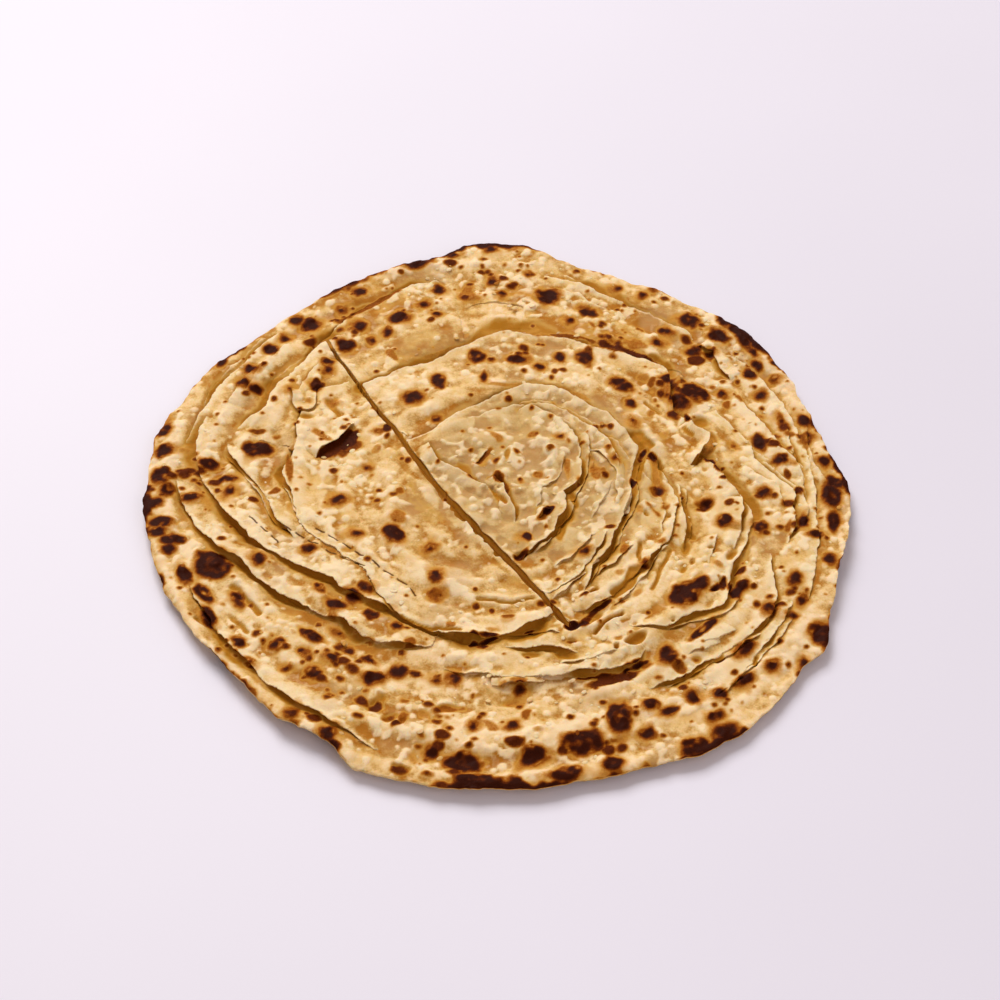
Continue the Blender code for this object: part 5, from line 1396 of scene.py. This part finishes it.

# %% [markdown]
# ## Making the sheets
# Each laid leaf becomes a patch, the patch gets its final height, and the tree closes it. Near the
# free edge the dough is paper thin, and it is a little thicker inside. Along each free edge a painted
# highlight gives the bright lip. The colour numbers are read from the maps at each point of the
# finished sheet.

# %% Tone with painted light and shade, paleness and greyness
MIDDLE_TONE = 0.50
RAISED_PALE_AND_LIT = 0.26
VALLEY_OIL_AND_SHADE = 0.27
PALE_RING = 0.36
FRONT_RIM_LIGHT = 0.14
POCKET_SHADE = 0.50
# Broad regions painted darker than the rest, or lighter where the amount is negative, partly the dough's
# own tone and partly painted shade and painted light:
# x, y, half length, half width, turn in degrees, amount
SHADE_LIGHT_AND_TONE = ((13, 9, 32, 34, 0, 0.17), (17, 33, 22, 9, -10, 0.16), (25, -5, 8, 14, 0, 0.14),
    (-6, 59, 38, 9, 5, 0.36), (38, 58, 20, 8, -35, 0.12), (-45, 72, 20, 9, 30, 0.3),
    (-14, 82, 30, 10, 5, 0.2), (48, 74, 16, 8, -35, 0.34), (71, 59, 7, 7, 0, 0.22),
    (50, 47, 10, 9, 0, 0.24), (-57, 47, 12, 8, 38, 0.24), (60, 22, 9, 9, 0, 0.12),
    (-79, -4, 11, 16, 0, 0.16), (-37, -49, 16, 8, -30, 0.34), (-58, -67, 12, 9, -35, 0.24),
    (-32, -84, 15, 9, -20, 0.32), (48, -47, 10, 8, 0, 0.14), (2, -97, 14, 6, 0, 0.14),
    (36, -72, 8, 6, 0, 0.12), (62, -58, 14, 12, 0, -0.2), (76, -42, 10, 12, 0, -0.22),
    (83, 8, 10, 22, 0, -0.2), (-95, 2, 8, 14, 0, -0.26), (37, -36, 9, 9, 0, -0.24),
    (-35, -32, 14, 12, -40, -0.1), (-71, -25, 9, 8, 0, -0.16), (-9, -52, 13, 20, 0, -0.14),
    (14, -72, 18, 7, 0, -0.1), (64, 35, 14, 8, 0, -0.14))

seen = surface - sunk + relief
raised = np.clip((seen - blur(seen, 3.2)) / 0.50, -1, 1)
raised = raised + 0.6 * np.clip((seen - blur(seen, 1.0)) / 0.22, -1, 1)
tone_map = MIDDLE_TONE + 0.06 * rough(7.0, 61) + 0.09 * rough(2.6, 62)
# Raised places lighter and the valleys outside free edges darker: partly the dough's drier tops and oily
# valleys, partly painted light and painted shade
tone_map = tone_map + RAISED_PALE_AND_LIT * raised - VALLEY_OIL_AND_SHADE * valley
# Pockets in the crumpled middle are darkened with painted shade
tone_map -= POCKET_SHADE * pockets
# The rim is painted lighter towards the front and a little darker at the back, as painted light
lit_towards_front = 0.55 - 0.0075 * map_y
tone_map += FRONT_RIM_LIGHT * ease((share - 0.7) / 0.15) * lit_towards_front
# Painted shade and painted light over broad regions, with some of the dough's own tone
for x, y, long_way, short_way, turn, amount in SHADE_LIGHT_AND_TONE:
    ring = ellipse_ring(WHOLE, x, y, long_way, short_way, turn)
    tone_map -= amount * (1.0 - ease((ring - 0.4) / 1.1))
# The crumpled place and the trough behind it are painted greyer
north_trough = 1.0 - ease((np.hypot((map_x + 6.0) / 40.0, (map_y - 59.0) / 11.0) - 0.5) / 0.7)
greyer_map = np.maximum(0.85 * crumpled, 0.5 * north_trough)
pale_map = np.clip(np.maximum(blisters, puffs) / 0.30, 0, 1) * 0.9 * (1.0 - 0.7 * valley)
# A thin pale ring lies round each large spot
pale_ring = ease((spot_gap - 1.0) / 0.9) * (1.0 - ease((spot_gap - 2.4) / 1.8)) * ease((share - 0.3) / 0.2)
pale_map = np.maximum(pale_map, PALE_RING * pale_ring * (1.0 - valley))
# The underside is a little cloudy
base_cloud = 0.10 * rough(9.0, 63)
print("mean tone", round(float(tone_map[share < 1].mean()), 2))

# %% Meshes and their numbers
def new_object(name, data):
    """A new object in the scene."""
    thing = bpy.data.objects.new(name, data)
    bpy.context.scene.collection.objects.link(thing)
    return thing


def write_mesh(name, x, y, z, faces):
    """A mesh from map points in mm, slid to their places in the part's frame."""
    mesh = bpy.data.meshes.new(name)
    mesh.vertices.add(len(x))
    points = np.stack([x + CENTRE[0], y - read_map(slide, x, y) + CENTRE[1], z], 1) * MM
    mesh.vertices.foreach_set("co", points.astype(np.float32).ravel())
    mesh.loops.add(3 * len(faces))
    mesh.loops.foreach_set("vertex_index", faces.astype(np.int32).ravel())
    mesh.polygons.add(len(faces))
    mesh.polygons.foreach_set("loop_start", np.arange(0, 3 * len(faces), 3, dtype=np.int32))
    mesh.update(calc_edges=True)
    return mesh


def write_numbers(mesh, numbers):
    """Writes named numbers on the points of a mesh."""
    for name, values in numbers.items():
        layer = mesh.attributes.new(name, "FLOAT", "POINT")
        values = np.broadcast_to(np.asarray(values, np.float32), len(mesh.vertices))
        layer.data.foreach_set("value", np.ascontiguousarray(values))


def read_points(mesh):
    """The points of a mesh in mm, slid back to their places on the map."""
    flat = np.empty(3 * len(mesh.vertices), np.float32)
    mesh.vertices.foreach_get("co", flat)
    points = flat.reshape(-1, 3) / MM
    x, y_out = points[:, 0] - CENTRE[0], points[:, 1] - CENTRE[1]
    y = y_out
    for _ in range(5):
        y = y_out + read_map(slide, x, y)
    return x, y, points[:, 2]

# %% Sheet maker
LIP_THICKNESS = 0.28
LEAF_THICKNESS = 0.62
LIP_HIGHLIGHT = 0.75
UNDERSIDE_TONE = 0.46
# How deep a place is pressed in mm to be all hollow, and how much hollow colour a lower side gets as
# painted shade
HOLLOW_FULL = 0.85
HOLLOW_SHADE_BELOW = 0.75
MOST_TRIANGLES = 190000
WHOLE_MAP = ((samples[0], samples[0]), PITCH)
pieces = []


def colour_sheet(mesh, top, pressed_later, place, tone_shift, lip):
    """Gives each point of a sheet its seven numbers. Without a lip, its underside is plain dough."""
    x, y, z = read_points(mesh)
    under = np.clip((read_map(top, x, y, *place) - z - LIP_THICKNESS) / 0.3, 0, 1)
    base = under if lip is None else 0.0 * under
    # Places pressed after this sheet was laid get the hollow colour: oil, deepened by painted shade
    hollow = ease(read_map(pressed_later, x, y, *place) / HOLLOW_FULL)
    # A leaf's lower side gets the hollow colour as painted shade
    hollow = np.maximum(hollow, HOLLOW_SHADE_BELOW * under) * (1.0 - base)
    # The cut's side walls get the hollow colour, oil and painted shade, but not on the underside of the
    # bread
    in_cut = 1.0 - ease((read_map(beside_cut, x, y) - 0.05) / 0.35)
    in_cut *= 1.0 if mesh.name == "bread_core" else np.clip(under * 3.0, 0.0, 1.0)
    in_cut *= ease(z / 1.0)
    on_top = any(flap[0] in mesh.name for flap in FLAPS)
    burnt = read_map(burn if on_top else burn_below, x, y) * (1.0 - under)
    pale = read_map(pale_map, x, y) * (1.0 - 0.8 * hollow)
    if lip is None:
        burnt = np.maximum(burnt, under * read_map(under_burn, x, y))
    else:
        # The bright lip along a free edge is a painted highlight
        pale = np.maximum(pale, LIP_HIGHLIGHT * read_map(lip, x, y, *place) * (1.0 - 0.6 * hollow))
    tone = read_map(tone_map, x, y) + tone_shift
    write_numbers(mesh, {
        "hollow": np.maximum(hollow, 1.1 * in_cut), "burn": burnt, "pale": pale * (1.0 - under),
        "tone": tone + base * (UNDERSIDE_TONE + read_map(base_cloud, x, y) - tone),
        "damp": read_map(greyer_map, x, y), "crease": read_map(crease_side, x, y),
        "dash": read_map(dash_mask, x, y) * (1.0 - under),
    })


def with_fewer_faces(piece, triangles):
    """Thins a mesh out to the most triangles that a piece may have."""
    thinner = piece.modifiers.new("fewer faces", "DECIMATE")
    thinner.ratio = MOST_TRIANGLES / triangles
    graph = bpy.context.evaluated_depsgraph_get()
    piece.data = bpy.data.meshes.new_from_object(piece.evaluated_get(graph))
    piece.data.name = piece.name
    piece.modifiers.remove(thinner)


def make_sheet(name, patch, maps, place=WHOLE_MAP, tone_shift=0.0, lip=None):
    """Closes a patch into a sheet, colours it and puts it in the scene.

    maps are the sheet's top, its thickness, and what was pressed off it since it was laid.
    """
    x, y, faces = patch
    top, thickness, pressed_later = maps
    mesh = write_mesh(name + "_patch", x, y, read_map(top, x, y, *place), faces)
    write_numbers(mesh, {THICKNESS: read_map(thickness, x, y, *place) * MM})
    source = new_object(name + "_patch", mesh)
    closed = run_tree(source, sheet_tree, {"Thickness scale": 1.0, "Material": dough})
    bpy.data.objects.remove(source)
    closed.name = name
    piece = new_object(name, closed)
    triangles = sum(len(face.vertices) - 2 for face in closed.polygons)
    if triangles > MOST_TRIANGLES:
        with_fewer_faces(piece, triangles)
    colour_sheet(piece.data, top, pressed_later, place, tone_shift, lip)
    pieces.append(piece)
    return piece


print("thinnest lip", LIP_THICKNESS, "mm")

# %% Wrap, leaves and core
WRAP_THICKNESS = 0.95
LOWEST_GAP = 0.12
LIP_WIDTH = 0.55
FEWEST_FACES = 50
CORE_STRIDE = 4
CORE_LEAST = 0.4

shade_pick = np.random.default_rng(71)
for sheet in wraps + laid:
    rows, cols = sheet["window"]
    view = every(STRIDE, sheet["window"])
    later = pressed[view] - sheet["pressed"]
    top = sheet["top"] - later + relief[view] * (1.0 - 0.6 * ease(later / 0.9))
    wrap = sheet["name"].startswith("wrap")
    if wrap:
        thickness = WRAP_THICKNESS - 0.25 * np.exp(-sheet["edge"])
    else:
        thickness = LIP_THICKNESS + (LEAF_THICKNESS - LIP_THICKNESS) * ease(sheet["edge"] / 4.0)
    top = np.maximum(top, curl[view] + thickness + LOWEST_GAP)
    patch = cut_patch(sheet["inside"], map_x[view], map_y[view])
    tone_shift = 0.04 * shade_pick.standard_normal()
    place = ((samples[cols.start], samples[rows.start]), PITCH * STRIDE)
    if len(patch[2]) > FEWEST_FACES:
        # This mask places the painted highlight of the bright lip along the free edge
        lip = None if wrap else np.exp(-((sheet["edge"] / LIP_WIDTH) ** 2))
        make_sheet("leaf_" + sheet["name"], patch, (top, thickness, later), place, tone_shift, lip)

core_top = np.maximum(dome - pressed - CORE_DROP + relief * 0.5, curl + CORE_LEAST)
low = every(CORE_STRIDE)
core_patch = cut_patch(core_inside[low], map_x[low], map_y[low])
core = make_sheet("bread_core", core_patch, (core_top, core_top - curl, pressed))
total = 0
for piece in pieces:
    piece.data.calc_loop_triangles()
    total += len(piece.data.loop_triangles)
print(len(pieces), "sheets with", total, "triangles")

# %% [markdown]
# ## Bottom of the cut
# The knife stopped short of the table, so the lowest dough still holds the two halves together.
# It is one narrow strip along the cut, a little wider than the gap above it.

# %% Cut floor
CUT_DEPTH = 3.0
CUT_FLOOR_EXTRA = 1.2
CUT_FLOOR_LOWEST = 1.2
CUT_FLOOR_OFF_TABLE = 0.15

floor_inside = cut_half + CUT_FLOOR_EXTRA - cut_gap
floor_top = np.maximum(dome - CUT_DEPTH, CUT_FLOOR_LOWEST) + 0.10 * rough(1.2, 72)
low = every(STRIDE)
floor_patch = cut_patch(floor_inside[low], map_x[low], map_y[low])
make_sheet("cut_floor", floor_patch, (floor_top, floor_top - CUT_FLOOR_OFF_TABLE, np.full_like(dome, 0.8)))
print("cut floor", CUT_DEPTH, "mm below the dome")

# %% [markdown]
# ## Small blisters
# Between the large blisters sit hundreds of tiny ones, hard and pale like grains of rice. A Geometry
# Nodes tree puts low domes on a coarse copy of the upper side. The copy says by a number at
# each point how many may stand there: none beside an edge, in the cut or on char. The domes take
# the colour numbers of the point they stand on, so that they brown with the dough around them.

# %% Geometry Nodes tree: small blisters
BLISTER_DENSITY = 55000.0
BLISTER_SIZE = 1.10
BLISTER_SHAPE = (1.0, 0.66, 0.18)
BLISTER_TILT = 0.15
STEEP = 0.5


def small_blister_tree():
    """The tree that scatters low domes over a surface."""
    tree, start = new_tree("small_blisters", (
        ("Density", "NodeSocketFloat", 1.0), ("Seed", "NodeSocketInt", 0),
        ("Largest radius", "NodeSocketFloat", 0.001), ("Material", "NodeSocketMaterial", None)))
    density = maths(tree, "MULTIPLY", number_on_points(tree, "room"), start["Density"])
    points = add_node(tree, "GeometryNodeDistributePointsOnFaces", (
        ("Mesh", start["Geometry"]), ("Density", density), ("Seed", start["Seed"])))
    ball = add_node(tree, "GeometryNodeMeshUVSphere", (("Segments", 9), ("Rings", 6), ("Radius", 1.0)))
    chance = add_node(tree, "FunctionNodeRandomValue", ((2, 0.55), (3, 1.0)), data_type="FLOAT")
    squared = maths(tree, "POWER", chance.outputs[1], 2.0)
    size = maths(tree, "MULTIPLY", squared, start["Largest radius"])
    shape = add_node(tree, "ShaderNodeVectorMath", ((0, BLISTER_SHAPE), ("Scale", size)), operation="SCALE")
    spin = add_node(tree, "FunctionNodeRandomValue", (
        (0, (-BLISTER_TILT, -BLISTER_TILT, 0.0)), (1, (BLISTER_TILT, BLISTER_TILT, 2.0 * math.pi))),
        data_type="FLOAT_VECTOR")
    turned = add_node(tree, "FunctionNodeEulerToRotation", ((0, spin.outputs[0]),))
    domes = add_node(tree, "GeometryNodeInstanceOnPoints", (
        ("Points", points.outputs["Points"]), ("Instance", ball.outputs["Mesh"]),
        ("Rotation", turned.outputs[0]), ("Scale", shape.outputs[0])))
    return finish_tree(tree, start, domes.outputs["Instances"])


blister_tree = small_blister_tree()
print("tree", blister_tree.name, "has", len(blister_tree.nodes), "nodes")

# %% Scatter the small blisters
low = every(CORE_STRIDE)
# No blister stands beside an edge, on char or in the cut
slope_y, slope_x = np.gradient(blur(seen, 0.5), PITCH)
steep = blur((np.hypot(slope_x, slope_y) > STEEP).astype(np.float32), 0.9)
free = ease((0.10 - steep) / 0.08) * ease((0.45 - burn) / 0.15)
free *= np.clip(0.30 + 0.40 * crowd, 0.04, 1.0) * ease((beside_cut - 1.5) / 0.5)
face_patch = cut_patch(np.minimum(rim_inside - 2.5, beside_cut - 1.0)[low], map_x[low], map_y[low])
x, y, faces = face_patch
face_mesh = write_mesh("blister_ground", x, y, read_map(seen, x, y) - 0.04, faces)
write_numbers(face_mesh, {
    "room": read_map(free, x, y), "burn": read_map(burn, x, y) * 0.8,
    "tone": read_map(tone_map, x, y) + 0.12,
    "pale": np.clip(0.55 + 0.2 * read_map(rough(0.8, 49), x, y), 0.2, 0.9),
    "hollow": 0.0, "damp": 0.0, "crease": LINE_VIEW, "dash": 0.0,
})
ground = new_object("blister_ground", face_mesh)
blister_mesh = run_tree(ground, blister_tree, {
    "Density": BLISTER_DENSITY, "Seed": 5, "Largest radius": BLISTER_SIZE * MM, "Material": dough})
bpy.data.objects.remove(ground)
blister_mesh.name = "small_blisters"
pieces.append(new_object("small_blisters", blister_mesh))
print("small blisters have", len(blister_mesh.polygons), "faces")

# %% [markdown]
# ## Fitting the pieces to the part
# Every sheet rides on the part's one body. The core stands for the plain solid, which is
# hidden.

# %% Ride and replace
# A face whose normal points further down than this belongs to the lower side
TURNED_DOWN = -0.2
# Where the upper side lies on the flat map
BAKE_CORNER = (0.01, 0.02)
BAKE_SIZE = (0.48, 0.96)


def write_bake_map(mesh, turned_down):
    """A flat map for baking: the upper side on the left half, the lower side on the right."""
    layer = mesh.uv_layers.new(name="OFBake")
    loops = np.empty(len(mesh.loops), np.int32)
    mesh.loops.foreach_get("vertex_index", loops)
    x, y, _ = read_points(mesh)
    span = max(x.max() - x.min(), y.max() - y.min()) * 1.02
    starts = np.empty(len(mesh.polygons), np.int32)
    mesh.polygons.foreach_get("loop_start", starts)
    totals = np.diff(np.append(starts, len(loops)))
    below = np.repeat(turned_down, totals)
    u = BAKE_CORNER[0] + BAKE_SIZE[0] * (x - x.min()) / span
    v = BAKE_CORNER[1] + BAKE_SIZE[1] * (y - y.min()) / span
    uv = np.stack([u[loops] + 0.5 * below, v[loops]], 1)
    layer.data.foreach_set("uv", uv.astype(np.float32).ravel())


for piece in pieces:
    corners = np.empty(3 * len(piece.data.vertices), np.float32)
    piece.data.vertices.foreach_get("co", corners)
    # No point lies below the table
    corners[2::3] = np.maximum(corners[2::3], 0.0)
    piece.data.vertices.foreach_set("co", corners)
    piece.data.update()
    write_bake_map(piece.data, np.array([face.normal.z < TURNED_DOWN for face in piece.data.polygons]))
    piece.data.shade_smooth()
    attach(piece, "root")
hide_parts("paratha")
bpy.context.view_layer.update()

# %% [markdown]
# ## Floor, light and camera
# A plain pale floor and a large soft lamp from the back left give the low, warm relief its
# shadows. A weak lamp from the front right and a pale sky open them up.

# %% Floor
FLOOR_COLOUR = (0.74, 0.73, 0.86)
FLOOR_LIGHTER = 1.06
FLOOR_ROUGHNESS = 0.5
HALF_FLOOR = 3


def floor_material():
    """A plain pale floor with a faint cloud in it."""
    material, tree, shader, place = new_material("pale_floor")
    cloud = grain(tree, place, 3.0, 3.0)
    lighter = tuple(min(1.0, FLOOR_LIGHTER * v) for v in FLOOR_COLOUR)
    tree.links.new(colour_steps(tree, cloud, ((0.3, FLOOR_COLOUR), (0.7, lighter))), shader["Base Color"])
    shader["Roughness"].default_value = FLOOR_ROUGHNESS
    return material


floor_mesh = bpy.data.meshes.new("floor")
corners = [(HALF_FLOOR * x, HALF_FLOOR * y, 0) for x, y in ((-1, -1), (1, -1), (1, 1), (-1, 1))]
floor_mesh.from_pydata(corners, [], [(0, 1, 2, 3)])
floor = new_object("floor", floor_mesh)
floor.data.materials.append(floor_material())
print("floor side in m:", 2 * HALF_FLOOR)

# %% Lights
KEY_PLACE = (-0.64, 1.64, 1.76)
KEY_SIDE = 1.35
KEY_POWER = 51.0
KEY_COLOUR = (1.0, 0.975, 0.94)
FILL_PLACE = (1.30, -1.30, 1.30)
FILL_SIDE = 1.80
FILL_POWER = 9.5
FILL_COLOUR = (0.95, 0.95, 1.0)
SKY_COLOUR = (1.0, 0.85, 0.74)
SKY_STRENGTH = 0.44


def soft_lamp(name, place, side, power, colour):
    """A square lamp that looks at the middle of the bread."""
    lamp = bpy.data.lights.new(name, "AREA")
    lamp.shape = "SQUARE"
    lamp.size = side
    lamp.energy = power
    lamp.color = colour
    holder = new_object(name, lamp)
    holder.location = place
    flat = math.hypot(place[0], place[1])
    holder.rotation_euler = (math.atan2(flat, place[2]), 0.0, math.atan2(place[0], -place[1]))


soft_lamp("key", KEY_PLACE, KEY_SIDE, KEY_POWER, KEY_COLOUR)
soft_lamp("fill", FILL_PLACE, FILL_SIDE, FILL_POWER, FILL_COLOUR)
world = bpy.data.worlds.new("pale_sky")
bpy.context.scene.world = world
world.use_nodes = True
sky = world.node_tree.nodes["Background"]
sky.inputs["Color"].default_value = (*SKY_COLOUR, 1.0)
sky.inputs["Strength"].default_value = SKY_STRENGTH
bpy.context.scene.view_settings.view_transform = "Standard"
print("key lamp", KEY_POWER, "W, fill", FILL_POWER, "W")

# %% Camera
ELEVATION = math.radians(46.32)
DISTANCE = 0.673
TARGET = (0.00099, -0.00571, 0.005)
LENS = 85.6
SENSOR = 36.0

camera_data = bpy.data.cameras.new("camera")
camera_data.lens = LENS
camera_data.sensor_width = SENSOR
camera = new_object("camera", camera_data)
back = (0.0, -math.cos(ELEVATION), math.sin(ELEVATION))
camera.location = tuple(t + DISTANCE * b for t, b in zip(TARGET, back))
camera.rotation_euler = (0.5 * math.pi - ELEVATION, 0.0, 0.0)
bpy.context.scene.camera = camera
print("camera at", [round(v, 3) for v in camera.location])
